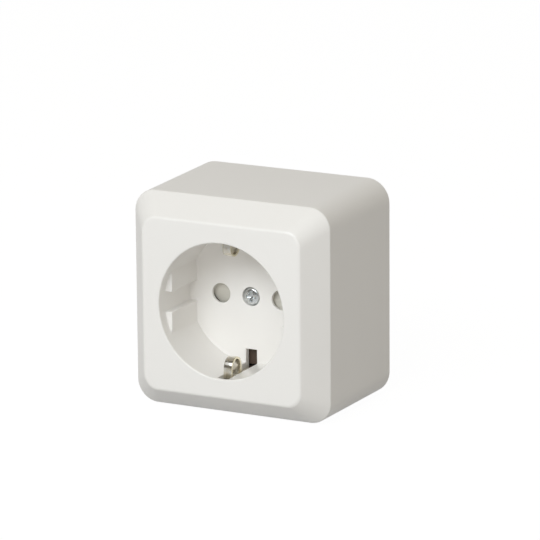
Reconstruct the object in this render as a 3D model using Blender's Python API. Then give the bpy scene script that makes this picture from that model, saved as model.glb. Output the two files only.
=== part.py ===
"""Surface mounted earthed socket outlet, built as a dimensioned assembly.

Frame: metres, X to the right and Z up as seen from the room, Y into the wall.
The origin is the centre of the wall face, so the flat front face lies at Y = -COVER_DEPTH.
Depths below are distances behind the front face, and y_at turns a depth into a Y coordinate.
"""

import math

import bmesh
import bpy
from mathutils import Matrix, Vector

MM = 0.001

# Outside of the cover, measured where the chamfer meets the sides
COVER_WIDTH = 61.5 * MM
COVER_HEIGHT = 62.3 * MM
COVER_DEPTH = 44.5 * MM
SIDE_DRAFT = 0.5 * MM
WALL_CORNER_RADIUS = 7.0 * MM
SIDE_CORNER_RADIUS = 6.4 * MM
FACE_CORNER_RADIUS = 4.6 * MM
CHAMFER_INSET = 6.0 * MM
CHAMFER_DEPTH = 7.3 * MM
SIDE_EDGE_RADIUS = 0.9 * MM
FACE_EDGE_RADIUS = 1.3 * MM

# Walls of the cover
SIDE_WALL = 2.2 * MM
FACE_WALL = 2.0 * MM
WELL_WALL = 1.85 * MM
FLOOR_WALL = 1.8 * MM

# Well for the plug
WELL_RADIUS = 19.65 * MM
WELL_RIM_RADIUS = 0.45 * MM
WELL_DEPTH = 18.5 * MM
BLOCK_CHORD = 17.3 * MM
BLOCK_DEPTH = 3.5 * MM
BLOCK_GROOVE = 5.9 * MM
EARTH_SLOT_WIDTH = 3.5 * MM
EARTH_SLOT_DEPTH = 1.2 * MM
EARTH_SLOT_INNER = 15.45 * MM
GUSSET_THICKNESS = 1.2 * MM
GUSSET_REACH = 6.5 * MM
GUSSET_DEPTH = 12.0 * MM

# Break-out windows for a cable, thinned from inside
BREAKOUT_WIDTH = 14.0 * MM
BREAKOUT_HEIGHT = 9.0 * MM
BREAKOUT_WEB = 0.8 * MM

# Plug pins and their holes
PIN_SPACING = 19.0 * MM
PIN_LENGTH = 19.0 * MM
PIN_RADIUS = 2.4 * MM
PIN_HOLE_RADIUS = 2.85 * MM

# Cover screw, its recess and its boss
SCREW_RECESS_RADIUS = 2.75 * MM
SCREW_RECESS_DEPTH = 2.5 * MM
COVER_SCREW_HEAD_RADIUS = 2.55 * MM
COVER_SCREW_HEAD_SINK = 0.4 * MM
COVER_SCREW_SHANK_RADIUS = 1.75 * MM
COVER_SCREW_LENGTH = 12.5 * MM
BOSS_RADIUS = 4.0 * MM
SCREW_HEAD_BEVEL = 0.35 * MM
CROSS_SLOT_LENGTH = 3.0 * MM
CROSS_SLOT_WIDTH = 0.7 * MM
CROSS_SLOT_DEPTH = 1.0 * MM

# Shutter, its return spring and its housing
SHUTTER_THICKNESS = 1.6 * MM
SHUTTER_HUB_RADIUS = 6.2 * MM
SHUTTER_ARM_WIDTH = 4.6 * MM
VANE_RADIUS = 3.7 * MM
VANE_RAMP_START = 1.0 * MM
VANE_RAMP_SLOPE = 0.2
SHUTTER_TRAVEL_DEG = 42.0
PEG_RADIUS = 0.5 * MM
PEG_LENGTH = 1.1 * MM
PEG_OFFSET = 9.0 * MM
SPRING_WIRE_RADIUS = 0.18 * MM
SPRING_PITCH = 0.45 * MM
SPRING_TURNS = 2.25
SPRING_COIL_RADIUS = 4.8 * MM
SPRING_LEG_LENGTH = 8.6 * MM
SPRING_LEG_TILT_DEG = 8.0
HOUSING_INNER_RADIUS = 13.6 * MM
HOUSING_RIM_WALL = 1.0 * MM
HOUSING_FLOOR = 1.0 * MM
HOUSING_PIN_HOLE_RADIUS = 3.1 * MM
STOP_WALL = 1.0 * MM
STOP_INNER_RADIUS = 7.4 * MM
POST_RADIUS = 0.6 * MM
POST_REACH = 6.9 * MM
TONGUE_WIDTH = 6.0 * MM
TONGUE_THICKNESS = 3.0 * MM

# Earth strap: a cross bar behind the well and an arm with a contact arch at each end
STRAP_THICKNESS = 0.7 * MM
STRAP_WIDTH = 7.0 * MM
ARM_WIDTH = 2.6 * MM
ARM_OFFSET = 21.0 * MM
ARM_BEND_RADIUS = 1.2 * MM
STRAP_TAPER_START = 13.2 * MM
STRAP_TAPER_END = 17.6 * MM
ARCH_DEPTH = 3.9 * MM
ARCH_LENGTH = 6.1 * MM
ARCH_PEAK = 14.6 * MM
ARCH_SHOULDER = 17.6 * MM
ARCH_BEND_RADIUS = 0.8 * MM
EARTH_TERMINAL_X = 11.0 * MM
EARTH_TERMINAL_Z = -17.0 * MM
EARTH_LUG_WIDTH = 5.2 * MM
EARTH_LUG_REACH = 3.6 * MM

# Contacts for the pins, with the steel rings that close them
CONTACT_GRIP = 0.05 * MM
CONTACT_WALL = 0.6 * MM
CONTACT_FRONT_GAP = 0.9 * MM
CONTACT_SLIT = 0.8 * MM
CONTACT_RING_LENGTH = 3.0 * MM
TAB_THICKNESS = 0.7 * MM
TAB_WIDTH = 5.0 * MM
TAB_GAP = 0.4 * MM
RING_WALL = 0.4 * MM
RING_LENGTH = 1.6 * MM
RING_SETBACK = 3.5 * MM

# Terminals
TERMINAL_SIDE_GAP = 1.5 * MM
CAGE_LENGTH = 6.4 * MM
CAGE_WALL = 1.0 * MM
CAGE_DEPTH = 31.0 * MM
TERMINAL_HEAD_RADIUS = 2.8 * MM
TERMINAL_HEAD_LENGTH = 2.0 * MM
TERMINAL_SHANK_RADIUS = 1.6 * MM
TERMINAL_HEAD_STANDOFF = 2.0 * MM
TERMINAL_TIP_GAP = 0.6 * MM
CLAMP_THICKNESS = 1.6 * MM
CLAMP_WIDTH = 7.2 * MM
CLAMP_HEIGHT = 6.8 * MM
CLAMP_GAP = 2.2 * MM
CLAMP_POCKET_DEPTH = 8.0 * MM

# Contact carrier
CARRIER_HALF_WIDTH = 16.5 * MM
CARRIER_TOP = 16.0 * MM
CARRIER_BOTTOM = -22.5 * MM
CARRIER_CORNER_RADIUS = 2.0 * MM
TOWER_HALF_WIDTH = 5.5 * MM
TOWER_TOP = 22.5 * MM
TOWER_LENGTH = 8.5 * MM
WING_GAP = 3.55 * MM
WING_WALL = 2.0 * MM
BUSH_RADIUS = 3.2 * MM
BUSH_LENGTH = 6.4 * MM
CARRIER_SCREW_X = -11.0 * MM
CARRIER_SCREW_Z = (-18.0 * MM, 12.0 * MM)
CARRIER_SCREW_HEAD_RADIUS = 2.9 * MM
CARRIER_SCREW_HEAD_LENGTH = 2.0 * MM
CARRIER_SCREW_SHANK_RADIUS = 1.5 * MM
CARRIER_WEB = 8.0 * MM

# Base plate on the wall
BASE_THICKNESS = 2.5 * MM
BASE_SKIN = 1.0 * MM
BASE_GAP = 0.35 * MM
BASE_RIM_HEIGHT = 4.0 * MM
BASE_RIM_WALL = 1.6 * MM
PILLAR_WALL = 1.5 * MM
WALL_SLOT_X = 21.5 * MM
WALL_SLOT_Z = 20.0 * MM
WALL_SLOT_LENGTH = 8.0 * MM
WALL_SLOT_WIDTH = 4.4 * MM
CABLE_HOLE_INSET = 9.25 * MM
CABLE_HOLE_WIDTH = 16.0 * MM
CABLE_HOLE_HEIGHT = 8.8 * MM

# Fits: the gap between pieces, how far joined forms run into each other and cutters run past,
# and the small step that keeps the faces of joined forms out of one plane
CLEARANCE = 0.3 * MM
OVERLAP = 0.4 * MM
CUT_PAST = 2.0 * MM
STEP = 0.1 * MM

# Facets
CORNER_STEPS = 7
EDGE_STEPS = 3
WELL_SEGMENTS = 72
BORE_SEGMENTS = 32
SCREW_SEGMENTS = 24
PEG_SEGMENTS = 12
BEND_STEPS = 5
ARCH_STEPS = 14
COIL_STEPS = 20
SHARP_ANGLE_DEG = 30
WELD_DISTANCE = 0.0001 * MM

# Depths that the sizes above settle
FLOOR_BACK = WELL_DEPTH + FLOOR_WALL
SHUTTER_FRONT = FLOOR_BACK + CLEARANCE
SHUTTER_BACK = SHUTTER_FRONT + SHUTTER_THICKNESS
SPRING_FRONT = SHUTTER_BACK + CLEARANCE + SPRING_WIRE_RADIUS
SPRING_BACK = SPRING_FRONT + SPRING_TURNS * SPRING_PITCH
HOUSING_FLOOR_FRONT = SPRING_BACK + SPRING_WIRE_RADIUS + CLEARANCE
HOUSING_BACK = HOUSING_FLOOR_FRONT + HOUSING_FLOOR
CARRIER_FRONT = HOUSING_BACK + CLEARANCE
STRAP_FRONT = CARRIER_FRONT + CLEARANCE
STRAP_BACK = STRAP_FRONT + STRAP_THICKNESS
CHANNEL_BACK = STRAP_BACK + CLEARANCE
TAB_FRONT = WELL_DEPTH + PIN_LENGTH + TAB_GAP
TAB_BACK = TAB_FRONT + TAB_THICKNESS
BASE_FRONT = COVER_DEPTH - BASE_THICKNESS
CARRIER_BACK = BASE_FRONT - CLEARANCE
CAGE_BACK = TAB_BACK + CLEARANCE + CAGE_WALL

# Radii that the sizes above settle
CONTACT_INNER_RADIUS = PIN_RADIUS + CONTACT_GRIP
CONTACT_OUTER_RADIUS = CONTACT_INNER_RADIUS + CONTACT_WALL
RING_INNER_RADIUS = CONTACT_OUTER_RADIUS + CLEARANCE
RING_OUTER_RADIUS = RING_INNER_RADIUS + RING_WALL
CHAMBER_RADIUS = RING_OUTER_RADIUS + CLEARANCE
HUB_BORE_RADIUS = BOSS_RADIUS + CLEARANCE
HOUSING_OUTER_RADIUS = HOUSING_INNER_RADIUS + HOUSING_RIM_WALL
CAGE_INNER_HALF = TAB_WIDTH / 2 + CLEARANCE
CAGE_HALF = CAGE_INNER_HALF + CAGE_WALL
POCKET_HALF = CAGE_HALF + CLEARANCE

# Places that the sizes above settle: a terminal stands midway between its contact and the free space's side
PIN_X = PIN_SPACING / 2
HALF_WIDTH = COVER_WIDTH / 2
HALF_HEIGHT = COVER_HEIGHT / 2
INNER_HALF_WIDTH = HALF_WIDTH + SIDE_DRAFT - SIDE_WALL
TERMINAL_X = (PIN_X + RING_OUTER_RADIUS + INNER_HALF_WIDTH - TERMINAL_SIDE_GAP) / 2
WING_REACH = INNER_HALF_WIDTH - WING_GAP
CABLE_HOLE_Z = HALF_HEIGHT - CABLE_HOLE_INSET


def y_at(depth):
    """Y coordinate of a depth behind the front face."""
    return depth - COVER_DEPTH


def clear_scene():
    for obj in list(bpy.data.objects):
        bpy.data.objects.remove(obj, do_unlink=True)


def finish_material(name, colour, roughness, metallic=0.0):
    """A Principled material in one finish."""
    material = bpy.data.materials.new(name)
    material.use_nodes = True
    shader = material.node_tree.nodes["Principled BSDF"]
    shader.inputs["Base Color"].default_value = (*colour, 1.0)
    shader.inputs["Roughness"].default_value = roughness
    shader.inputs["Metallic"].default_value = metallic
    return material


def rounded_rectangle(half_x, half_z, radius, steps=CORNER_STEPS):
    """Outline points (x, z), with a quarter circle of the given radius at each corner."""
    points = []
    for corner, (side_x, side_z) in enumerate(((1, 1), (-1, 1), (-1, -1), (1, -1))):
        centre_x = side_x * (half_x - radius)
        centre_z = side_z * (half_z - radius)
        for step in range(steps + 1):
            angle = math.radians(90 * (corner + step / steps))
            points.append((centre_x + radius * math.cos(angle), centre_z + radius * math.sin(angle)))
    return points


def moved(outline, x, z):
    return [(px + x, pz + z) for px, pz in outline]


def circle(radius, segments, x=0.0, z=0.0):
    angles = [math.tau * index / segments for index in range(segments)]
    return [(x + radius * math.cos(angle), z + radius * math.sin(angle)) for angle in angles]


def rectangle(x_low, x_high, z_low, z_high):
    return [(x_low, z_low), (x_high, z_low), (x_high, z_high), (x_low, z_high)]


def turned_outline(outline, degrees):
    """Outline turned about the Y axis, from +X towards +Z."""
    cosine = math.cos(math.radians(degrees))
    sine = math.sin(math.radians(degrees))
    return [(x * cosine - z * sine, x * sine + z * cosine) for x, z in outline]


def prism(outline, depth_front, depth_back):
    """An (x, z) outline extruded from one depth to the other."""
    mesh = bmesh.new()
    face = mesh.faces.new([mesh.verts.new((x, y_at(depth_front), z)) for x, z in outline])
    made = bmesh.ops.extrude_face_region(mesh, geom=[face])
    far = [item for item in made["geom"] if isinstance(item, bmesh.types.BMVert)]
    bmesh.ops.translate(mesh, verts=far, vec=(0, depth_back - depth_front, 0))
    bmesh.ops.recalc_face_normals(mesh, faces=mesh.faces)
    return mesh


def box(x_low, x_high, z_low, z_high, depth_front, depth_back):
    return prism(rectangle(x_low, x_high, z_low, z_high), depth_front, depth_back)


def cylinder(radius, depth_front, depth_back, segments=BORE_SEGMENTS, x=0.0, z=0.0):
    return prism(circle(radius, segments, x, z), depth_front, depth_back)


def turned(profile, segments, x=0.0, z=0.0):
    """A closed profile of (radius, depth) points spun about an axis along Y through (x, z)."""
    mesh = bmesh.new()
    verts = [mesh.verts.new((x + radius, y_at(depth), z)) for radius, depth in profile]
    face = mesh.faces.new(verts)
    edges = list(face.edges)
    bmesh.ops.delete(mesh, geom=[face], context="FACES_ONLY")
    bmesh.ops.spin(
        mesh,
        geom=verts + edges,
        cent=(x, 0, z),
        axis=(0, 1, 0),
        angle=math.tau,
        steps=segments,
        use_duplicate=False,
    )
    bmesh.ops.remove_doubles(mesh, verts=mesh.verts, dist=WELD_DISTANCE)
    on_axis = [edge for edge in mesh.edges if not edge.link_faces]
    bmesh.ops.delete(mesh, geom=on_axis, context="EDGES")
    bmesh.ops.recalc_face_normals(mesh, faces=mesh.faces)
    return mesh


def loft(rings):
    """Rings of equal point counts skinned one to the next, with a flat face at each end."""
    mesh = bmesh.new()
    loops = [[mesh.verts.new(point) for point in ring] for ring in rings]
    for first, second in zip(loops, loops[1:]):
        count = len(first)
        for index in range(count):
            after = (index + 1) % count
            mesh.faces.new((first[index], first[after], second[after], second[index]))
    mesh.faces.new(loops[0])
    mesh.faces.new(loops[-1])
    bmesh.ops.recalc_face_normals(mesh, faces=mesh.faces)
    return mesh


def add_object(name, mesh, material=None):
    """Puts a bmesh into the scene as an object of that name."""
    data = bpy.data.meshes.new(name)
    mesh.to_mesh(data)
    mesh.free()
    obj = bpy.data.objects.new(name, data)
    bpy.context.scene.collection.objects.link(obj)
    if material:
        data.materials.append(material)
        data.shade_smooth()
        data.set_sharp_from_angle(angle=math.radians(SHARP_ANGLE_DEG))
    return obj


def combine(target, operation, tools):
    """Adds one Boolean for each tool mesh, kept as a hidden wire object."""
    for index, mesh in enumerate(tools):
        tool = add_object(f"{target.name}_{operation.lower()}_{len(target.modifiers)}", mesh)
        tool.hide_render = True
        tool.display_type = "WIRE"
        modifier = target.modifiers.new(f"{operation.title()} {index + 1}", "BOOLEAN")
        modifier.operation = operation
        modifier.solver = "EXACT"
        modifier.object = tool


def unite(target, *tools):
    combine(target, "UNION", tools)


def cut(target, *tools):
    combine(target, "DIFFERENCE", tools)


def put_origin(obj, point):
    """Moves an object's origin to a point and leaves its shape where it is."""
    obj.data.transform(Matrix.Translation(-point))
    obj.location = point


def arc(centre, radii, start_deg, end_deg, steps):
    """Points along an elliptical arc, both ends included."""
    points = []
    for step in range(steps + 1):
        angle = math.radians(start_deg + (end_deg - start_deg) * step / steps)
        points.append((centre[0] + radii[0] * math.cos(angle), centre[1] + radii[1] * math.sin(angle)))
    return points


def filleted(corners, radii, steps):
    """A polyline with each inner corner replaced by a tangent arc of its radius."""
    points = [corners[0]]
    for before, corner, after, radius in zip(corners, corners[1:], corners[2:], radii):
        here = Vector(corner)
        backward = (Vector(before) - here).normalized()
        forward = (Vector(after) - here).normalized()
        half_angle = backward.angle(forward) / 2
        middle = here + (backward + forward).normalized() * radius / math.sin(half_angle)
        first = here + backward * radius / math.tan(half_angle) - middle
        last = here + forward * radius / math.tan(half_angle) - middle
        for step in range(steps + 1):
            spoke = first.lerp(last, step / steps).normalized() * radius
            points.append(tuple(middle + spoke))
    return points + [corners[-1]]


def corner_radius_at(inset):
    """Corner radius of the cover's outline: it grows to the wall and shrinks to the face."""
    if inset < 0:
        return SIDE_CORNER_RADIUS - (WALL_CORNER_RADIUS - SIDE_CORNER_RADIUS) * inset / SIDE_DRAFT
    return SIDE_CORNER_RADIUS + (FACE_CORNER_RADIUS - SIDE_CORNER_RADIUS) * inset / CHAMFER_INSET


def cover_ring(inset, depth, wall=0.0):
    """The cover's outline at a depth, set in by inset, and by wall for its inner side."""
    half_x = HALF_WIDTH - inset - wall
    half_z = HALF_HEIGHT - inset - wall
    outline = rounded_rectangle(half_x, half_z, corner_radius_at(inset) - wall)
    return [Vector((x, y_at(depth), z)) for x, z in outline]


def cover_shell():
    """Outside of the cover: drafted sides, a rounded edge, the chamfer and a softer rounded edge."""
    profile = filleted(
        [(-SIDE_DRAFT, COVER_DEPTH), (0, CHAMFER_DEPTH), (CHAMFER_INSET, 0), (HALF_WIDTH, 0)],
        [SIDE_EDGE_RADIUS, FACE_EDGE_RADIUS],
        EDGE_STEPS,
    )
    return loft([cover_ring(inset, depth) for inset, depth in profile[:-1]])


def cover_cavity():
    """The hollow of the cover, open at the wall: the sides and the chamfer keep their wall."""
    slant = math.hypot(CHAMFER_INSET, CHAMFER_DEPTH)
    chamfer_reach = CHAMFER_INSET * CHAMFER_DEPTH + FACE_WALL * slant
    inset_at_face = (chamfer_reach - CHAMFER_INSET * FACE_WALL) / CHAMFER_DEPTH
    depth_at_side = (chamfer_reach - CHAMFER_DEPTH * SIDE_WALL) / CHAMFER_INSET
    draft_per_depth = SIDE_DRAFT / (COVER_DEPTH - CHAMFER_DEPTH)
    past_wall = COVER_DEPTH + CUT_PAST
    return loft(
        [
            cover_ring(-SIDE_DRAFT - CUT_PAST * draft_per_depth, past_wall, SIDE_WALL),
            cover_ring(0, depth_at_side, SIDE_WALL),
            cover_ring(inset_at_face - SIDE_WALL, FACE_WALL, SIDE_WALL),
        ]
    )


def well_bore():
    """The well with its rounded rim; the rim's last slope runs on past the face."""
    rim = arc(
        (WELL_RADIUS + WELL_RIM_RADIUS, WELL_RIM_RADIUS),
        (WELL_RIM_RADIUS, WELL_RIM_RADIUS),
        180,
        270,
        EDGE_STEPS,
    )
    (last_radius, last_depth), (edge_radius, edge_depth) = rim[-2:]
    slope = (edge_radius - last_radius) / (last_depth - edge_depth)
    beyond = (edge_radius + slope * WELL_RIM_RADIUS, -WELL_RIM_RADIUS)
    profile = [(0, WELL_DEPTH), (WELL_RADIUS, WELL_DEPTH), *rim[:-1], beyond, (0, -WELL_RIM_RADIUS)]
    return turned(profile, WELL_SEGMENTS)


def side_block(side_x, side_z):
    """One of the four blocks that guide the plug: a piece of a circle beyond a flat chord."""
    reach = WELL_RADIUS + WELL_WALL / 2
    tip_angle = math.degrees(math.acos(BLOCK_CHORD / reach))
    groove_angle = math.degrees(math.asin(BLOCK_GROOVE / 2 / reach))
    outline = [(BLOCK_CHORD, BLOCK_GROOVE / 2)]
    outline += arc((0, 0), (reach, reach), groove_angle, tip_angle, BEND_STEPS)
    outline = [(side_x * x, side_z * z) for x, z in outline]
    return prism(outline, BLOCK_DEPTH, WELL_DEPTH + OVERLAP)


def gusset(degrees):
    """A thin rib from the well to the front wall, along one diagonal."""
    start = WELL_RADIUS + WELL_WALL / 2
    outline = rectangle(start, start + GUSSET_REACH, -GUSSET_THICKNESS / 2, GUSSET_THICKNESS / 2)
    return prism(turned_outline(outline, degrees), FACE_WALL - OVERLAP, GUSSET_DEPTH)


def screw_passage():
    """Recess for the cover screw's head and the hole for its shank, through floor and boss."""
    shank = COVER_SCREW_SHANK_RADIUS + CLEARANCE
    seat = WELL_DEPTH + SCREW_RECESS_DEPTH
    profile = [
        (0, WELL_DEPTH - CUT_PAST),
        (SCREW_RECESS_RADIUS, WELL_DEPTH - CUT_PAST),
        (SCREW_RECESS_RADIUS, seat),
        (shank, seat),
        (shank, HOUSING_BACK + CUT_PAST),
        (0, HOUSING_BACK + CUT_PAST),
    ]
    return turned(profile, BORE_SEGMENTS)


def earth_slot(side):
    """Slot for one earth clip, through the wall of the well and on into its floor."""
    half = EARTH_SLOT_WIDTH / 2
    ends = sorted((side * EARTH_SLOT_INNER, side * (WELL_RADIUS + WELL_WALL + CUT_PAST)))
    return box(-half, half, *ends, EARTH_SLOT_DEPTH, FLOOR_BACK + CUT_PAST)


def breakout_recess(side):
    """Recess that leaves a thin web in the top or bottom wall, next to the wall face."""
    outer = side * (HALF_HEIGHT - BREAKOUT_WEB)
    inner = side * (HALF_HEIGHT - SIDE_WALL - CUT_PAST)
    half = BREAKOUT_WIDTH / 2
    depth_front = COVER_DEPTH - BREAKOUT_HEIGHT
    return box(-half, half, min(inner, outer), max(inner, outer), depth_front, COVER_DEPTH + CUT_PAST)


def make_cover(material):
    cover = add_object("cover", cover_shell(), material)
    cut(cover, cover_cavity())
    unite(cover, cylinder(WELL_RADIUS + WELL_WALL, FACE_WALL - OVERLAP, FLOOR_BACK, WELL_SEGMENTS))
    unite(cover, *(gusset(degrees) for degrees in (45, 135, 225, 315)))
    unite(cover, cylinder(BOSS_RADIUS, FLOOR_BACK - OVERLAP, HOUSING_BACK, BORE_SEGMENTS))
    cut(cover, well_bore())
    unite(cover, *(side_block(side_x, side_z) for side_x in (-1, 1) for side_z in (-1, 1)))
    cut(cover, earth_slot(-1), earth_slot(1), screw_passage())
    for side in (-1, 1):
        cut(cover, cylinder(PIN_HOLE_RADIUS, WELL_DEPTH - CUT_PAST, FLOOR_BACK + CUT_PAST, x=side * PIN_X))
        cut(cover, breakout_recess(side))
    return cover


def cross_slot(depth_front, x=0.0, z=0.0):
    """The cross in a screw head."""
    long, short = CROSS_SLOT_LENGTH / 2, CROSS_SLOT_WIDTH / 2
    outline = []
    for degrees in (0, 90, 180, 270):
        outline += turned_outline([(long, -short), (long, short), (short, short)], degrees)
    return prism(moved(outline, x, z), depth_front - CUT_PAST, depth_front + CROSS_SLOT_DEPTH)


def make_screw(name, material, head, shank, x=0.0, z=0.0):
    """A screw along Y: its head as (radius, front depth, back depth), its shank as (radius, end depth)."""
    head_radius, head_front, head_back = head
    shank_radius, shank_end = shank
    bevel = SCREW_HEAD_BEVEL
    profile = [
        (0, head_front),
        (head_radius - bevel, head_front),
        (head_radius, head_front + bevel),
        (head_radius, head_back),
        (shank_radius, head_back),
        (shank_radius, shank_end - shank_radius / 2),
        (shank_radius / 2, shank_end),
        (0, shank_end),
    ]
    screw = add_object(name, turned(profile, SCREW_SEGMENTS, x, z), material)
    cut(screw, cross_slot(head_front, x, z))
    return screw


def make_cover_screw(material):
    head_front = WELL_DEPTH + COVER_SCREW_HEAD_SINK
    head_back = WELL_DEPTH + SCREW_RECESS_DEPTH - CLEARANCE
    head = (COVER_SCREW_HEAD_RADIUS, head_front, head_back)
    shank = (COVER_SCREW_SHANK_RADIUS, head_back + COVER_SCREW_LENGTH)
    return make_screw("cover_screw", material, head, shank)


def bush_prism(grow):
    """Six-sided bush, or its pocket when grown by a clearance and opened to the front."""
    front = CHANNEL_BACK - CUT_PAST if grow else CHANNEL_BACK
    return prism(circle(BUSH_RADIUS + grow, 6), front, CHANNEL_BACK + BUSH_LENGTH + grow)


def make_cover_screw_bush(material):
    bush = add_object("cover_screw_bush", bush_prism(0.0), material)
    bore_radius = COVER_SCREW_SHANK_RADIUS + CLEARANCE
    cut(bush, cylinder(bore_radius, CHANNEL_BACK - CUT_PAST, CHANNEL_BACK + BUSH_LENGTH + CUT_PAST))
    return bush


def vane_ramp(side):
    """Cutter for the slope on which a pin pushes its vane aside."""
    start = -VANE_RAMP_START - CUT_PAST
    end = VANE_RADIUS + CUT_PAST
    deep_start = SHUTTER_FRONT - VANE_RAMP_SLOPE * CUT_PAST
    deep_end = SHUTTER_FRONT + VANE_RAMP_SLOPE * (VANE_RAMP_START + end)
    outline = [
        (start, SHUTTER_FRONT - CUT_PAST),
        (start, deep_start),
        (end, deep_end),
        (end, SHUTTER_FRONT - CUT_PAST),
    ]
    rings = []
    for x in (SHUTTER_HUB_RADIUS, PIN_X + VANE_RADIUS + CUT_PAST):
        rings.append([Vector((side * x, y_at(depth), side * z)) for z, depth in outline])
    return loft(rings)


def spring_leg_start():
    """Where the leg on the shutter's side leaves the coil, and its direction, in (x, z)."""
    tilt = math.radians(SPRING_LEG_TILT_DEG)
    start = Vector((SPRING_COIL_RADIUS * math.sin(tilt), -SPRING_COIL_RADIUS * math.cos(tilt)))
    return start, Vector((math.cos(tilt), math.sin(tilt)))


def spring_leg_end():
    """Where the leg on the housing's side leaves the coil, and its direction, in (x, z)."""
    start, _ = spring_leg_start()
    angle = math.atan2(start.y, start.x) - math.tau * SPRING_TURNS
    end = Vector((SPRING_COIL_RADIUS * math.cos(angle), SPRING_COIL_RADIUS * math.sin(angle)))
    return end, Vector((math.sin(angle), -math.cos(angle)))


def peg_z():
    """Height of the shutter's peg, resting on the spring's leg."""
    start, along = spring_leg_start()
    leg_z = start.y + (PEG_OFFSET - start.x) * along.y / along.x
    return leg_z + (PEG_RADIUS + SPRING_WIRE_RADIUS + CLEARANCE) / along.x


def make_shutter(material):
    """One rotor with a hub on the boss and a vane behind each pin hole; its origin is on its axis."""
    shutter = add_object("shutter", cylinder(SHUTTER_HUB_RADIUS, SHUTTER_FRONT, SHUTTER_BACK), material)
    arm = SHUTTER_ARM_WIDTH / 2
    unite(shutter, box(-PIN_X, PIN_X, -arm, arm, SHUTTER_FRONT + STEP, SHUTTER_BACK - STEP))
    vane = (VANE_RADIUS, SHUTTER_FRONT + STEP / 2, SHUTTER_BACK - STEP / 2)
    unite(shutter, cylinder(*vane, x=-PIN_X), cylinder(*vane, x=PIN_X))
    peg = (PEG_RADIUS, SHUTTER_BACK - OVERLAP, SHUTTER_BACK + PEG_LENGTH, PEG_SEGMENTS)
    unite(shutter, cylinder(*peg, PEG_OFFSET, peg_z()))
    cut(shutter, vane_ramp(-1), vane_ramp(1))
    cut(shutter, cylinder(HUB_BORE_RADIUS, SHUTTER_FRONT - CUT_PAST, SHUTTER_BACK + CUT_PAST))
    put_origin(shutter, Vector((0, y_at(SHUTTER_FRONT), 0)))
    return shutter


def make_shutter_spring(material):
    """Torsion spring round the boss: one leg bears on the shutter's peg, the other on the housing's post."""
    start, along = spring_leg_start()
    start_angle = math.atan2(start.y, start.x)
    steps = round(SPRING_TURNS * COIL_STEPS)
    outer = start + along * SPRING_LEG_LENGTH
    points = [(outer.x, outer.y, SPRING_FRONT)]
    for step in range(steps + 1):
        angle = start_angle - math.tau * SPRING_TURNS * step / steps
        depth = SPRING_FRONT + (SPRING_BACK - SPRING_FRONT) * step / steps
        points.append((SPRING_COIL_RADIUS * math.cos(angle), SPRING_COIL_RADIUS * math.sin(angle), depth))
    end, away = spring_leg_end()
    last = end + away * SPRING_LEG_LENGTH
    points.append((last.x, last.y, SPRING_BACK))

    curve = bpy.data.curves.new("shutter_spring", "CURVE")
    curve.dimensions = "3D"
    spline = curve.splines.new("POLY")
    spline.points.add(len(points) - 1)
    for target, (x, z, depth) in zip(spline.points, points):
        target.co = (x, y_at(depth), z, 1)
    curve.bevel_depth = SPRING_WIRE_RADIUS
    curve.bevel_resolution = 1
    curve.use_fill_caps = True
    curve.materials.append(material)
    spring = bpy.data.objects.new("shutter_spring", curve)
    bpy.context.scene.collection.objects.link(spring)
    return spring


def stop_wall(degrees):
    """Radial wall on the housing's floor that stops a vane."""
    half = STOP_WALL / 2
    outline = rectangle(STOP_INNER_RADIUS, HOUSING_INNER_RADIUS + OVERLAP, -half, half)
    return prism(turned_outline(outline, degrees), SHUTTER_FRONT + OVERLAP, HOUSING_FLOOR_FRONT + OVERLAP)


def slot_tongue(side):
    """Tongue on the housing's rim that closes an earth slot from behind, up to the strap's arm."""
    root = (HOUSING_INNER_RADIUS + HOUSING_OUTER_RADIUS) / 2
    tip = ARM_OFFSET - STRAP_THICKNESS / 2 - CLEARANCE
    front = SHUTTER_FRONT + STEP
    ends = sorted((side * root, side * tip))
    return box(-TONGUE_WIDTH / 2, TONGUE_WIDTH / 2, *ends, front, front + TONGUE_THICKNESS)


def make_shutter_housing(material):
    """Dish that carries the shutter and its spring against the back of the well's floor."""
    profile = [
        (HUB_BORE_RADIUS, HOUSING_FLOOR_FRONT),
        (HOUSING_INNER_RADIUS, HOUSING_FLOOR_FRONT),
        (HOUSING_INNER_RADIUS, SHUTTER_FRONT),
        (HOUSING_OUTER_RADIUS, SHUTTER_FRONT),
        (HOUSING_OUTER_RADIUS, HOUSING_BACK),
        (HUB_BORE_RADIUS, HOUSING_BACK),
    ]
    housing = add_object("shutter_housing", turned(profile, WELL_SEGMENTS), material)
    stand_off = VANE_RADIUS + CLEARANCE + STOP_WALL / 2
    stop_angle = math.degrees(math.asin(stand_off / PIN_X))
    for turn in (0, 180):
        unite(housing, stop_wall(turn + stop_angle), stop_wall(turn - SHUTTER_TRAVEL_DEG - stop_angle))
    unite(housing, slot_tongue(-1), slot_tongue(1))
    end, away = spring_leg_end()
    beside = Vector((-away.y, away.x)) * (POST_RADIUS + SPRING_WIRE_RADIUS + CLEARANCE)
    centre = end + away * POST_REACH + beside
    post = (POST_RADIUS, SPRING_BACK - CLEARANCE, HOUSING_FLOOR_FRONT + OVERLAP, PEG_SEGMENTS)
    unite(housing, cylinder(*post, centre.x, centre.y))
    hole = (HOUSING_PIN_HOLE_RADIUS, HOUSING_FLOOR_FRONT - CUT_PAST, HOUSING_BACK + CUT_PAST)
    cut(housing, cylinder(*hole, x=-PIN_X), cylinder(*hole, x=PIN_X))
    return housing


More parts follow.
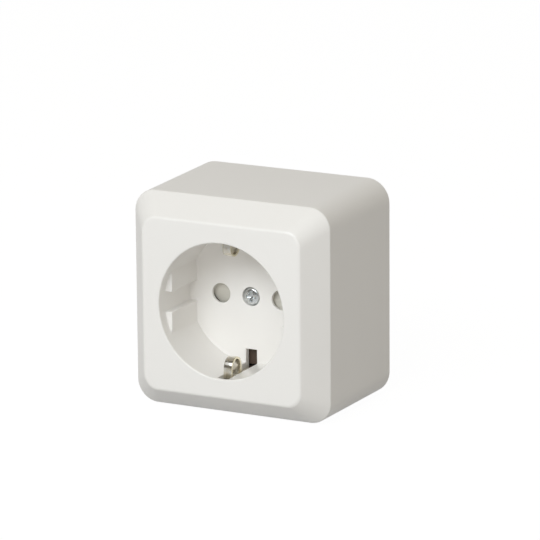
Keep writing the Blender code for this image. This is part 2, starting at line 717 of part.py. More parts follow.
def half_strap_path():
    """Middle line of half the earth strap as (z, depth, width), out to the arch's free end."""
    bar = (STRAP_FRONT + STRAP_BACK) / 2
    half = STRAP_THICKNESS / 2
    front_leg = ARCH_DEPTH + half
    back_leg = ARCH_DEPTH + ARCH_LENGTH - half
    points = [(0, bar, STRAP_WIDTH), (STRAP_TAPER_START, bar, STRAP_WIDTH), (STRAP_TAPER_END, bar, ARM_WIDTH)]
    bend = ARM_BEND_RADIUS
    path = arc((ARM_OFFSET - bend, bar - bend), (bend, bend), 90, 0, BEND_STEPS)
    bend = ARCH_BEND_RADIUS
    path += arc((ARM_OFFSET - bend, front_leg + bend), (bend, bend), 0, -90, BEND_STEPS)
    middle = (ARCH_SHOULDER, (front_leg + back_leg) / 2)
    radii = (ARCH_SHOULDER - ARCH_PEAK - half, (back_leg - front_leg) / 2)
    path += arc(middle, radii, 270, 90, ARCH_STEPS)
    path.append((ARM_OFFSET - half - CLEARANCE, back_leg))
    return points + [(z, depth, ARM_WIDTH) for z, depth in path]


def strap_rings(path):
    """A rectangle across the strap at each point of its middle line."""
    half = STRAP_THICKNESS / 2
    rings = []
    for index, (z, depth, width) in enumerate(path):
        before = path[max(index - 1, 0)]
        after = path[min(index + 1, len(path) - 1)]
        along = Vector((after[0] - before[0], after[1] - before[1])).normalized()
        across = Vector((-along.y, along.x)) * half
        ring = []
        for side_x, side in ((-1, -1), (1, -1), (1, 1), (-1, 1)):
            ring.append(Vector((side_x * width / 2, y_at(depth + side * across.y), z + side * across.x)))
        rings.append(ring)
    return rings


def make_earth_strap(material):
    upper = half_strap_path()
    lower = [(-z, depth, width) for z, depth, width in reversed(upper[1:])]
    strap = add_object("earth_strap", loft(strap_rings(lower + upper)), material)
    half = EARTH_LUG_WIDTH / 2
    lug = rectangle(0, EARTH_TERMINAL_X + EARTH_LUG_REACH, EARTH_TERMINAL_Z - half, EARTH_TERMINAL_Z + half)
    unite(strap, prism(lug, STRAP_FRONT + STEP / 2, STRAP_BACK - STEP / 2))
    ends = (STRAP_FRONT - CUT_PAST, STRAP_BACK + CUT_PAST)
    cut(strap, cylinder(COVER_SCREW_SHANK_RADIUS + CLEARANCE, *ends))
    cut(strap, cylinder(TERMINAL_SHANK_RADIUS + CLEARANCE, *ends, x=EARTH_TERMINAL_X, z=EARTH_TERMINAL_Z))
    return strap


def make_contact(name, side, material):
    """A split sleeve for one pin, with a tab that runs out to its terminal."""
    front = CARRIER_FRONT + CONTACT_FRONT_GAP
    profile = [
        (CONTACT_INNER_RADIUS, front),
        (CONTACT_OUTER_RADIUS, front),
        (CONTACT_OUTER_RADIUS, TAB_BACK - TAB_THICKNESS / 2),
        (CONTACT_INNER_RADIUS, TAB_BACK - TAB_THICKNESS / 2),
    ]
    contact = add_object(name, turned(profile, BORE_SEGMENTS, side * PIN_X), material)
    ends = sorted((side * (PIN_X - CONTACT_OUTER_RADIUS), side * (TERMINAL_X + CAGE_LENGTH / 2)))
    unite(contact, box(*ends, -TAB_WIDTH / 2, TAB_WIDTH / 2, TAB_FRONT, TAB_BACK))
    slit = rectangle(-CONTACT_SLIT / 2, CONTACT_SLIT / 2, -CHAMBER_RADIUS, CHAMBER_RADIUS)
    cut(contact, prism(moved(slit, side * PIN_X, 0), front - CUT_PAST, TAB_FRONT - CONTACT_RING_LENGTH))
    return contact


def make_contact_spring(name, side, material):
    """Steel ring round a contact's jaws."""
    front = CARRIER_FRONT + CONTACT_FRONT_GAP + RING_SETBACK
    profile = [
        (RING_INNER_RADIUS, front),
        (RING_OUTER_RADIUS, front),
        (RING_OUTER_RADIUS, front + RING_LENGTH),
        (RING_INNER_RADIUS, front + RING_LENGTH),
    ]
    return add_object(name, turned(profile, BORE_SEGMENTS, side * PIN_X), material)


def make_terminal_cage(name, side, material):
    """Square cage round a contact's tab, open to the wire's side, with a hole for its screw."""
    ends = sorted((side * (TERMINAL_X - CAGE_LENGTH / 2), side * (TERMINAL_X + CAGE_LENGTH / 2)))
    cage = add_object(name, box(*ends, -CAGE_HALF, CAGE_HALF, CAGE_DEPTH, CAGE_BACK), material)
    past = (ends[0] - CUT_PAST, ends[1] + CUT_PAST)
    inner = (-CAGE_INNER_HALF, CAGE_INNER_HALF)
    cut(cage, box(*past, *inner, CAGE_DEPTH + CAGE_WALL, CAGE_BACK - CAGE_WALL))
    front_hole = (CAGE_DEPTH - CUT_PAST, CAGE_DEPTH + CAGE_WALL + OVERLAP)
    cut(cage, cylinder(TERMINAL_SHANK_RADIUS + CLEARANCE, *front_hole, x=side * TERMINAL_X))
    return cage


def make_terminal_screw(name, side, material):
    head_back = CAGE_DEPTH - TERMINAL_HEAD_STANDOFF
    head = (TERMINAL_HEAD_RADIUS, head_back - TERMINAL_HEAD_LENGTH, head_back)
    shank = (TERMINAL_SHANK_RADIUS, TAB_FRONT - TERMINAL_TIP_GAP)
    return make_screw(name, material, head, shank, side * TERMINAL_X)


def clamp_depths():
    front = STRAP_BACK + CLAMP_GAP
    return front, front + CLAMP_THICKNESS


def make_earth_clamp_plate(material):
    """Square nut that presses the earth wire on the back of the strap's lug."""
    half_x, half_z = CLAMP_WIDTH / 2, CLAMP_HEIGHT / 2
    outline = moved(rectangle(-half_x, half_x, -half_z, half_z), EARTH_TERMINAL_X, EARTH_TERMINAL_Z)
    front, back = clamp_depths()
    plate = add_object("earth_clamp_plate", prism(outline, front, back), material)
    hole = (TERMINAL_SHANK_RADIUS + CLEARANCE, front - CUT_PAST, back + CUT_PAST)
    cut(plate, cylinder(*hole, x=EARTH_TERMINAL_X, z=EARTH_TERMINAL_Z))
    return plate


def make_earth_terminal_screw(material):
    head_back = STRAP_FRONT - CLEARANCE
    head = (TERMINAL_HEAD_RADIUS, head_back - TERMINAL_HEAD_LENGTH, head_back)
    shank = (TERMINAL_SHANK_RADIUS, clamp_depths()[1] + CLEARANCE + TERMINAL_SHANK_RADIUS)
    return make_screw("earth_terminal_screw", material, head, shank, EARTH_TERMINAL_X, EARTH_TERMINAL_Z)


def carrier_screw_depths():
    """Depths of the carrier screw's head front, head back and tip."""
    head_front = CARRIER_FRONT + CLEARANCE
    head_back = head_front + CARRIER_SCREW_HEAD_LENGTH
    return head_front, head_back, COVER_DEPTH - BASE_SKIN - CLEARANCE


def make_carrier_screw(name, z, material):
    head_front, head_back, tip = carrier_screw_depths()
    head = (CARRIER_SCREW_HEAD_RADIUS, head_front, head_back)
    return make_screw(name, material, head, (CARRIER_SCREW_SHANK_RADIUS, tip), CARRIER_SCREW_X, z)


def pillar_front():
    """Depth at which a base plate pillar ends inside the carrier."""
    return carrier_screw_depths()[1] + CLEARANCE + CARRIER_WEB + CLEARANCE


def pillar_radius():
    return CARRIER_SCREW_SHANK_RADIUS + CLEARANCE + PILLAR_WALL


def cut_contact_chambers(carrier):
    """A round chamber for each contact, a slot for its tab and a pocket for its terminal."""
    front = CARRIER_FRONT - CUT_PAST
    for side in (-1, 1):
        cut(carrier, cylinder(CHAMBER_RADIUS, front, TAB_BACK + CLEARANCE, x=side * PIN_X))
        slot = sorted((side * PIN_X, side * TERMINAL_X))
        half = CAGE_INNER_HALF
        cut(carrier, box(*slot, -half, half, front, TAB_BACK + CLEARANCE + STEP))
        pocket = sorted((side * (TERMINAL_X - CAGE_LENGTH / 2 - CLEARANCE), side * (WING_REACH + CUT_PAST)))
        cut(carrier, box(*pocket, -POCKET_HALF, POCKET_HALF, front, CAGE_BACK + CLEARANCE))


def cut_strap_channel(carrier):
    """Channel for the cross bar and its lug, and the pockets behind it for bush and clamp plate."""
    front = CARRIER_FRONT - CUT_PAST
    half = STRAP_WIDTH / 2 + CLEARANCE
    cut(carrier, box(-half, half, CARRIER_BOTTOM - CUT_PAST, TOWER_TOP + CUT_PAST, front, CHANNEL_BACK))
    lug_half = EARTH_LUG_WIDTH / 2 + CLEARANCE
    lug_end = EARTH_TERMINAL_X + EARTH_LUG_REACH + CLEARANCE
    low, high = EARTH_TERMINAL_Z - lug_half, EARTH_TERMINAL_Z + lug_half
    cut(carrier, box(0, lug_end, low, high, front, CHANNEL_BACK + STEP))
    cut(carrier, bush_prism(CLEARANCE))
    half_x = CLAMP_WIDTH / 2 + CLEARANCE
    high = EARTH_TERMINAL_Z + CLAMP_HEIGHT / 2 + CLEARANCE
    left, right = EARTH_TERMINAL_X - half_x, EARTH_TERMINAL_X + half_x
    pocket_back = STRAP_BACK + CLAMP_POCKET_DEPTH
    cut(carrier, box(left, right, CARRIER_BOTTOM - CUT_PAST, high, front, pocket_back))


def cut_carrier_screw_holes(carrier):
    """Counterbore, shank hole and the recess that takes the base plate's pillar, for each screw."""
    _, head_back, _ = carrier_screw_depths()
    head_radius = CARRIER_SCREW_HEAD_RADIUS + CLEARANCE
    shank_radius = CARRIER_SCREW_SHANK_RADIUS + CLEARANCE
    recess_radius = pillar_radius() + CLEARANCE
    seat = head_back + CLEARANCE
    recess = pillar_front() - CLEARANCE
    profile = [
        (0, CARRIER_FRONT - CUT_PAST),
        (head_radius, CARRIER_FRONT - CUT_PAST),
        (head_radius, seat),
        (shank_radius, seat),
        (shank_radius, recess),
        (recess_radius, recess),
        (recess_radius, CARRIER_BACK + CUT_PAST),
        (0, CARRIER_BACK + CUT_PAST),
    ]
    for z in CARRIER_SCREW_Z:
        cut(carrier, turned(profile, SCREW_SEGMENTS, CARRIER_SCREW_X, z))


def make_contact_carrier(material):
    """Moulded block for the live parts: a wing for each terminal and a tower under the strap's upper bend."""
    half_height = (CARRIER_TOP - CARRIER_BOTTOM) / 2
    outline = rounded_rectangle(CARRIER_HALF_WIDTH, half_height, CARRIER_CORNER_RADIUS, EDGE_STEPS)
    outline = moved(outline, 0, (CARRIER_TOP + CARRIER_BOTTOM) / 2)
    carrier = add_object("contact_carrier", prism(outline, CARRIER_FRONT, CARRIER_BACK), material)
    wing = rounded_rectangle(WING_REACH, POCKET_HALF + WING_WALL, CARRIER_CORNER_RADIUS / 2, EDGE_STEPS)
    unite(carrier, prism(wing, CARRIER_FRONT + STEP, CARRIER_BACK - STEP))
    half, front = TOWER_HALF_WIDTH, CARRIER_FRONT + STEP
    unite(carrier, box(-half, half, CARRIER_TOP - OVERLAP, TOWER_TOP, front, front + TOWER_LENGTH))
    cut_contact_chambers(carrier)
    cut_strap_channel(carrier)
    cut_carrier_screw_holes(carrier)
    return carrier


def base_outline(inset):
    """The base plate's outline inside the cover's walls, set in further by inset."""
    wall = SIDE_WALL + BASE_GAP + inset
    half_x = HALF_WIDTH + SIDE_DRAFT - wall
    half_z = HALF_HEIGHT + SIDE_DRAFT - wall
    return rounded_rectangle(half_x, half_z, WALL_CORNER_RADIUS - wall)


def make_base_plate(material):
    """Plate on the wall with a rim that centres the cover, pillars for the carrier and a cable hole."""
    rim_front = BASE_FRONT - BASE_RIM_HEIGHT
    base = add_object("base_plate", prism(base_outline(0), rim_front, COVER_DEPTH), material)
    cut(base, prism(base_outline(BASE_RIM_WALL), rim_front - CUT_PAST, BASE_FRONT))
    half = BREAKOUT_WIDTH / 2
    rim_reach = HALF_HEIGHT + CUT_PAST
    cut(base, box(-half, half, -rim_reach, rim_reach, rim_front - CUT_PAST, BASE_FRONT - STEP))
    bore_radius = CARRIER_SCREW_SHANK_RADIUS + CLEARANCE
    bore_back = COVER_DEPTH - BASE_SKIN
    for z in CARRIER_SCREW_Z:
        unite(base, cylinder(pillar_radius(), pillar_front(), BASE_FRONT + OVERLAP, x=CARRIER_SCREW_X, z=z))
        cut(base, cylinder(bore_radius, pillar_front() - CUT_PAST, bore_back, x=CARRIER_SCREW_X, z=z))
    through = (BASE_FRONT - CUT_PAST, COVER_DEPTH + CUT_PAST)
    slot = rounded_rectangle(WALL_SLOT_LENGTH / 2, WALL_SLOT_WIDTH / 2, WALL_SLOT_WIDTH / 2)
    for side_x in (-1, 1):
        for side_z in (-1, 1):
            cut(base, prism(moved(slot, side_x * WALL_SLOT_X, side_z * WALL_SLOT_Z), *through))
    hole = rounded_rectangle(CABLE_HOLE_WIDTH / 2, CABLE_HOLE_HEIGHT / 2, CABLE_HOLE_HEIGHT / 2)
    cut(base, prism(moved(hole, 0, CABLE_HOLE_Z), *through))
    return base


def make_socket():
    white = finish_material("white moulded plastic", (0.80, 0.79, 0.75), 0.28)
    base_white = finish_material("base plastic", (0.74, 0.73, 0.69), 0.45)
    carrier_brown = finish_material("carrier plastic", (0.06, 0.045, 0.035), 0.5)
    shutter_beige = finish_material("shutter plastic", (0.50, 0.47, 0.40), 0.45)
    brass = finish_material("plated brass", (0.75, 0.68, 0.48), 0.25, 1.0)
    zinc = finish_material("zinc plated steel", (0.62, 0.64, 0.66), 0.28, 1.0)
    spring_steel = finish_material("spring steel", (0.55, 0.55, 0.55), 0.3, 1.0)

    make_cover(white)
    make_base_plate(base_white)
    make_contact_carrier(carrier_brown)
    make_shutter_housing(carrier_brown)
    make_shutter(shutter_beige)
    make_shutter_spring(spring_steel)
    make_earth_strap(brass)
    for side, word in ((-1, "left"), (1, "right")):
        make_contact(f"{word}_contact", side, brass)
        make_contact_spring(f"{word}_contact_spring", side, spring_steel)
        make_terminal_cage(f"{word}_terminal_cage", side, zinc)
        make_terminal_screw(f"{word}_terminal_screw", side, zinc)
    make_earth_clamp_plate(zinc)
    make_earth_terminal_screw(zinc)
    make_cover_screw(zinc)
    make_cover_screw_bush(brass)
    for word, z in zip(("lower", "upper"), CARRIER_SCREW_Z):
        make_carrier_screw(f"{word}_carrier_screw", z, zinc)


clear_scene()
make_socket()
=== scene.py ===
"""Surface mounted earthed socket outlet: its visible surfaces, finishes and stage, laid over the CAD frame.

Frame: metres, X to the right and Z up as seen from the room, Y into the wall, the wall face at Y = 0.
The mesh functions work in millimetres, and a depth is the distance behind the flat front face.
"""

import math
from types import SimpleNamespace

import bmesh
import bpy
import numpy as np
from bpy.props import FloatProperty, FloatVectorProperty, IntProperty, PointerProperty
from mathutils import Matrix, Vector
from mathutils.geometry import delaunay_2d_cdt


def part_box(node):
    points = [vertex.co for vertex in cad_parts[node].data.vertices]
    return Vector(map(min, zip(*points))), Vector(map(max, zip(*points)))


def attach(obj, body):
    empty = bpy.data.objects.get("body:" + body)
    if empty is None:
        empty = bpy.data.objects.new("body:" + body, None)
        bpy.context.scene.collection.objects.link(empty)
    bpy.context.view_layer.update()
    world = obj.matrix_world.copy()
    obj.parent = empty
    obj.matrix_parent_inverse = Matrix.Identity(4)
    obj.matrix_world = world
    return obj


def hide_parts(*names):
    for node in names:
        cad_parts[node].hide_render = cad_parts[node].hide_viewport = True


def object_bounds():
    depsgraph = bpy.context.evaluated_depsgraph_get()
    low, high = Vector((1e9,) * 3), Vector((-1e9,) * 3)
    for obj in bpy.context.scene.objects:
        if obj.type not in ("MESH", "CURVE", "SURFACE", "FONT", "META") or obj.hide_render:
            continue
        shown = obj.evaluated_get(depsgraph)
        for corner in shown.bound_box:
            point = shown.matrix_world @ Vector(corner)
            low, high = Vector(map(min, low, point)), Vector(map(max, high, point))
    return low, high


bl_info = {
    "name": "Surface mounted socket",
    "version": (1, 0, 0),
    "blender": (4, 5, 0),
    "location": "3D View > Sidebar > Socket",
    "description": "Makes the visible surfaces of a surface mounted socket, their finishes and the stage",
    "category": "Object",
}

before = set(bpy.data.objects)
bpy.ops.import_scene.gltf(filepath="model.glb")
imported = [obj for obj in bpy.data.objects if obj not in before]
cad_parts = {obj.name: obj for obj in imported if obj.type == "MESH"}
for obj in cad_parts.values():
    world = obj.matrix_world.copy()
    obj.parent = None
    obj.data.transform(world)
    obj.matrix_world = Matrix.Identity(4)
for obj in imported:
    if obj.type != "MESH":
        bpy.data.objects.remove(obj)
CAD_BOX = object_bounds()

MM = 0.001
FRONT_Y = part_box("cover")[0].y / MM
SHARP_ANGLE = math.radians(38)
# In metres
MERGE_DISTANCE = 1e-6
# In millimetres
SAME_PLACE = 1e-3
EDGE_STRIP = 0.12
# Counts
HOLE_SEGMENTS = 72
BORE_SEGMENTS = 48
SCREW_SEGMENTS = 120
FLOOR_SEGMENTS = 96
RIM_RINGS = 9
FILLET_RINGS = 7
EDGE_RINGS = 5
SLOT_EDGE_RINGS = 4
HOLE_EDGE_RINGS = 6
HEAD_EDGE_RINGS = 12
# Signs of (x, z) in the four corners, anticlockwise
CORNERS = ((1, 1), (-1, 1), (-1, -1), (1, -1))


def length(name, description, default_mm):
    """A length property, given here in millimetres and kept in metres."""
    return FloatProperty(
        name=name, description=description, default=default_mm * MM, unit="LENGTH", precision=5
    )


def angle(name, description, degrees):
    """An angle property, given here in degrees and kept in radians."""
    return FloatProperty(
        name=name, description=description, default=math.radians(degrees), subtype="ANGLE"
    )


def quantity(name, description, default, highest=1000.0):
    """A property that can't be less than zero."""
    return FloatProperty(name=name, description=description, default=default, min=0.0, max=highest)


def colour(name, description, default):
    """A colour property of red, green and blue shares."""
    return FloatVectorProperty(
        name=name, description=description, default=default, size=3, min=0.0, max=1.0, subtype="COLOR"
    )


class SocketCoverSettings(bpy.types.PropertyGroup):
    """Sizes of the moulded cover"""

    width: length("Width", "Width where the chamfer meets the sides", 61.5)
    height: length("Height", "Height where the chamfer meets the sides", 62.3)
    draft: length("Draft", "How much further out the sides stand at the wall", 0.5)
    wall_corner: length("Wall corner", "Corner radius at the wall", 7.0)
    side_corner: length("Side corner", "Corner radius where the chamfer meets the sides", 6.4)
    face_corner: length("Face corner", "Corner radius of the flat face", 4.6)
    chamfer_inset: length("Chamfer inset", "Width of the chamfer seen from the front", 6.0)
    chamfer_depth: length("Chamfer depth", "Depth of the chamfer", 7.3)
    side_edge: length("Side edge", "Rounding between the sides and the chamfer", 0.9)
    face_edge: length("Face edge", "Rounding between the chamfer and the face", 1.3)
    wall_edge: length("Wall edge", "Rounding of the edge on the wall", 0.35)
    inner_edge: length("Inner edge", "Rounding of the inner edges of the chamfer", 0.5)
    side_wall: length("Side wall", "Wall thickness of the sides", 2.2)
    face_wall: length("Face wall", "Wall thickness of the face", 2.0)
    well_wall: length("Well wall", "Wall thickness of the well", 1.85)
    floor_wall: length("Floor wall", "Thickness of the well's floor", 1.8)
    well_radius: length("Well radius", "Radius of the well", 19.65)
    well_inset: length("Well inset", "How much narrower the well is behind its blocks' fronts", 0.06)
    well_rim: length("Well rim", "Rounding of the well's rim", 0.45)
    well_depth: length("Well depth", "Depth of the well", 18.5)
    floor_fillet: length("Floor fillet", "Fillet between the well's wall and floor", 0.15)
    block_chord: length("Block chord", "Distance of the side blocks' flat faces from the middle", 17.3)
    block_depth: length("Block depth", "Depth at which the side blocks begin", 3.5)
    block_edge: length("Block edge", "Rounding of the side blocks' front edges", 0.2)
    groove: length("Groove", "Width of the groove between two side blocks", 5.9)
    slot_width: length("Slot width", "Width of the slots for the earth clips", 3.5)
    slot_depth: length("Slot depth", "Depth at which those slots begin", 1.2)
    slot_inner: length("Slot reach", "Distance of the slots' inner ends from the middle", 15.45)
    slot_edge: length("Slot edge", "Rounding of the slots' edges", 0.15)
    pin_spacing: length("Pin spacing", "Distance between the two pin holes", 19.0)
    pin_hole: length("Pin hole", "Radius of a pin hole", 2.85)
    pin_edge: length("Pin hole edge", "Rounding of a pin hole's edge", 0.2)
    pin_wall: length("Pin hole wall", "Thickness of the floor at a pin hole", 0.9)
    pin_pocket: length("Pin pocket", "Radius of the pocket behind a pin hole", 3.7)
    recess_radius: length("Screw recess", "Radius of the recess for the cover screw", 2.75)
    recess_depth: length("Recess depth", "Depth of that recess", 2.5)
    shank_hole: length("Shank hole", "Radius of the hole for the screw's shank", 2.05)
    boss_radius: length("Boss radius", "Radius of the boss behind the well", 4.0)
    boss_depth: length("Boss depth", "Depth at which the boss ends", 25.17)
    web_width: length("Break-out width", "Width of the thin webs for a cable", 14.0)
    web_height: length("Break-out height", "Height of the thin webs from the wall", 9.0)
    web_wall: length("Break-out web", "Thickness of the thin webs", 0.8)


class SocketScrewSettings(bpy.types.PropertyGroup):
    """Sizes of the cover screw"""

    head_radius: length("Head radius", "Radius of the head", 2.55)
    head_front: length("Head front", "Depth of the head's front at its rim", 18.95)
    head_back: length("Head back", "Depth of the head's back", 20.7)
    head_edge: length("Head edge", "Rounding of the head's edge", 0.65)
    dome: length("Dome", "How far the head's middle stands out", 0.5)
    cross_length: length("Cross length", "Length of the cross recess", 3.3)
    cross_width: length("Cross width", "Width of the cross recess", 0.78)
    cross_depth: length("Cross depth", "Depth of the cross recess", 1.0)
    shank_radius: length("Shank radius", "Outer radius of the thread", 1.75)
    shank_end: length("Shank end", "Depth of the screw's tip", 33.2)
    pitch: length("Pitch", "Pitch of the thread", 0.7)
    thread: length("Thread height", "Height of the thread", 0.22)


class SocketStrapSettings(bpy.types.PropertyGroup):
    """Sizes of the earth strap with its two contact arches"""

    thickness: length("Thickness", "Thickness of the strip", 0.7)
    edge: length("Edge", "Rounding of the strip's edges", 0.16)
    bar_front: length("Bar front", "Depth of the cross bar's front", 25.77)
    bar_width: length("Bar width", "Width of the cross bar", 7.0)
    arm_width: length("Arm width", "Width of the arms and arches", 2.6)
    arm_offset: length("Arm offset", "Distance of the arms from the middle", 21.0)
    arm_bend: length("Arm bend", "Bend radius from the bar to an arm", 1.2)
    taper_start: length("Taper start", "Where the bar begins to narrow", 13.2)
    taper_end: length("Taper end", "Where the bar has narrowed to the arm", 17.6)
    arch_depth: length("Arch depth", "Depth of an arch's front", 3.9)
    arch_length: length("Arch length", "Length of an arch along the plug's way", 6.1)
    arch_peak: length("Arch peak", "Distance of an arch's peak from the middle", 14.6)
    arch_shoulder: length("Arch shoulder", "Where an arch leaves its straight legs", 17.6)
    arch_bend: length("Arch bend", "Bend radius from the arm to an arch", 0.8)
    lug_x: length("Terminal across", "Distance of the earth terminal to the right", 11.0)
    lug_z: length("Terminal height", "Height of the earth terminal", -17.0)
    lug_width: length("Lug width", "Width of the lug at the earth terminal", 5.2)
    lug_reach: length("Lug reach", "How far the lug runs past its screw", 3.6)
    screw_hole: length("Screw hole", "Radius of the hole for the cover screw", 2.05)
    lug_hole: length("Lug hole", "Radius of the hole for the terminal screw", 1.9)


class SocketFinishSettings(bpy.types.PropertyGroup):
    """Colours of the finishes"""

    cover: colour("Cover plastic", "Off-white of the moulded cover", (0.88, 0.86, 0.822))
    base: colour("Base plastic", "Off-white of the base plate", (0.74, 0.73, 0.69))
    shutter: colour("Shutter plastic", "Grey beige of the shutter", (0.72, 0.695, 0.615))
    carrier: colour("Carrier plastic", "Dark brown of the carrier and the housing", (0.076, 0.050, 0.034))
    brass: colour("Plated brass", "Warm silver of the plated strip", (0.80, 0.78, 0.73))
    tarnish: colour("Tarnish", "Stains on the plated strip", (0.66, 0.60, 0.47))
    cut_brass: colour("Cut brass", "Pale gold of the strip's cut edges", (0.86, 0.80, 0.60))
    zinc: colour("Zinc plate", "Grey of the zinc plated steel", (0.62, 0.64, 0.66))
    bright_zinc: colour("Bright zinc plate", "Bluish silver of the cover screw", (0.87, 0.90, 0.91))
    spring_steel: colour("Spring steel", "Grey of the spring steel", (0.52, 0.52, 0.52))


class SocketStageSettings(bpy.types.PropertyGroup):
    """Camera, light and floor"""

    azimuth: angle("Azimuth", "How far right of the front the camera stands", 27.2625)
    elevation: angle("Elevation", "How far above the camera stands", 14.5136)
    roll: angle("Roll", "Turn of the picture", -0.4633)
    location: FloatVectorProperty(
        name="Location", description="Place of the camera", default=(0.540108, -1.062139, 0.310273),
        size=3, subtype="TRANSLATION", precision=5,
    )
    focal_pixels: FloatProperty(
        name="Focal length", description="Focal length in pixels of the picture", default=4265.41
    )
    picture_width: IntProperty(
        name="Picture width", description="Width of the picture in pixels", default=540
    )
    upper_power: quantity("Upper light", "Power of the upper soft light, in watts", 5.386)
    upper_azimuth: angle("Upper azimuth", "How far right of the front the upper light stands", 0)
    upper_elevation: angle("Upper elevation", "How far up the upper light stands", 35)
    upper_width: length("Upper width", "Width of the upper light", 640)
    upper_tint: colour("Upper tint", "Colour of the upper light", (0.893, 0.943, 1.0))
    front_power: quantity("Front light", "Power of the front soft light, in watts", 1.92)
    front_azimuth: angle("Front azimuth", "How far right of the front the front light stands", 24)
    front_elevation: angle("Front elevation", "How far up the front light stands", 3)
    front_width: length("Front width", "Width of the front and side lights", 600)
    front_tint: colour("Front tint", "Colour of the front light", (0.99, 0.987, 1.0))
    side_power: quantity("Side light", "Power of the light that shines in the metal, in watts", 0.6)
    side_azimuth: angle("Side azimuth", "How far right of the front the side light stands", -31)
    light_height: length("Light height", "Height of a soft light", 420)
    light_distance: length("Light distance", "Distance of the soft lights", 1000)
    room: quantity("Room light", "Strength of the even light from all round", 0.367)
    room_tint: colour("Room tint", "Colour of the even light", (1.0, 0.94, 0.83))
    floor_grey: quantity("Floor", "How much light the floor gives back", 0.52, 1.0)
    floor_radius: length("Floor radius", "Radius of the floor", 9000)


def own_properties(group):
    """The properties that a group itself defines."""
    return [item for item in group.bl_rna.properties if item.identifier not in ("rna_type", "name")]


def in_mm(group):
    """The group's values as plain names, its lengths in millimetres."""
    values = {}
    for item in own_properties(group):
        value = getattr(group, item.identifier)
        values[item.identifier] = value / MM if item.unit == "LENGTH" and not item.is_array else value
    return SimpleNamespace(**values)


# Surfaces


def quarter_arc(count):
    """Angles from 0 to a right angle, in even steps."""
    return np.radians(np.linspace(0, 90, count))


def full_turn(segments):
    """Angles once round, without the last one, in even steps."""
    return np.linspace(0, math.tau, segments, endpoint=False)


def unit(turn):
    """Unit vectors (cos t, sin t)."""
    return np.stack((np.cos(turn), np.sin(turn)), -1)


def smooth_step(value):
    """v v (3 - 2 v), with v the value kept between 0 and 1."""
    value = np.clip(value, 0, 1)
    return value * value * (3 - 2 * value)


def place(x, depth, z):
    """Points from X, depth behind the face and Z, all broadcast together: (x, depth - face, z)."""
    x, depth, z = np.broadcast_arrays(x, depth, z)
    return np.stack((x, depth + FRONT_Y, z), -1).astype(float)


def around(radius, depth, turn, x=0.0, z=0.0):
    """Points (x + r cos t, depth, z + r sin t) round an axis along Y."""
    return place(x + radius * np.cos(turn), depth, z + radius * np.sin(turn))


def grid(points, keep=None):
    """A patch over rings of points (rows, columns, 3), with keep as a mask of its quads.

    A quad joins (i, j), (i, j+1), (i+1, j+1) and (i+1, j), and every ring is closed.
    """
    rows, columns = points.shape[:2]
    row, column = np.meshgrid(np.arange(rows - 1) * columns, np.arange(columns), indexing="ij")
    after = (column + 1) % columns
    below = row + columns
    faces = np.stack((row + column, row + after, below + after, below + column), -1)
    return points.reshape(-1, 3), faces.reshape(-1, 4) if keep is None else faces[keep]


def rounded_path(corners, radii, steps, support):
    """A polyline with tangent arcs at its inner corners, and where each point lies along it.

    An arc of radius r turns between its legs' unit vectors u and v about the point
    c = corner + (u + v) r / (|u + v| sin h), with h half the angle between the legs, and a support point
    stands beyond each of its ends. A place t counts corners: t = 1.5 is half way from corner 1 to corner 2.
    """
    corners = np.asarray(corners, float)
    points, places = [corners[:1]], [np.zeros(1)]
    for index, radius in enumerate(radii, 1):
        here = corners[index]
        if radius == 0:
            points.append(here[None])
            places.append(np.array([index]))
            continue
        legs = np.stack((corners[index - 1] - here, corners[index + 1] - here))
        spans = np.linalg.norm(legs, axis=1)
        legs /= spans[:, None]
        half = math.acos(float(np.clip(legs[0] @ legs[1], -1, 1))) / 2
        reach = radius / math.tan(half)
        middle = here + legs.sum(0) / np.linalg.norm(legs.sum(0)) * radius / math.sin(half)
        first, last = here + legs * reach - middle
        share = np.linspace(0, 1, steps + 1)
        turn = math.pi - 2 * half
        bend = share[:, None] * turn
        spokes = (first * np.sin(turn - bend) + last * np.sin(bend)) / math.sin(turn)
        outer = here + legs * (reach + support)
        points += [outer[:1], middle + spokes, outer[1:]]
        before, after = (reach + support) / spans
        inner = reach / spans
        along = inner.sum() * share - inner[0]
        places += [np.array([index - before]), index + along, np.array([index + after])]
    points.append(corners[-1:])
    places.append(np.array([len(corners) - 1]))
    return np.concatenate(points), np.concatenate(places)


def next_in_loop(start, count):
    """The edges (i, i + 1) of a closed loop of count points, numbered from start."""
    index = np.arange(count)
    return np.stack((start + index, start + (index + 1) % count), -1)


def outward_offset(loop, distance):
    """A closed loop of (x, z) moved square to itself, to its right hand side, with mitred corners.

    At a point between edges with unit normals m and n the move is (m + n) d / (1 + m.n).
    """
    edge = np.roll(loop, -1, 0) - loop
    edge /= np.linalg.norm(edge, axis=1)[:, None]
    normal = np.stack((edge[:, 1], -edge[:, 0]), -1)
    before = np.roll(normal, 1, 0)
    return loop + (normal + before) * distance / (1 + (normal * before).sum(1))[:, None]


def inside(points, loop):
    """Which points lie inside a closed loop, by counting the edges that a ray along +x crosses."""
    x, z = points[:, :1], points[:, 1:]
    a, b = loop, np.roll(loop, -1, 0)
    spans = (a[:, 1] > z) != (b[:, 1] > z)
    rise = np.where(a[:, 1] == b[:, 1], 1.0, b[:, 1] - a[:, 1])
    crossing = a[:, 0] + (z - a[:, 1]) * (b[:, 0] - a[:, 0]) / rise
    return ((spans & (x < crossing)).sum(1) % 2).astype(bool)


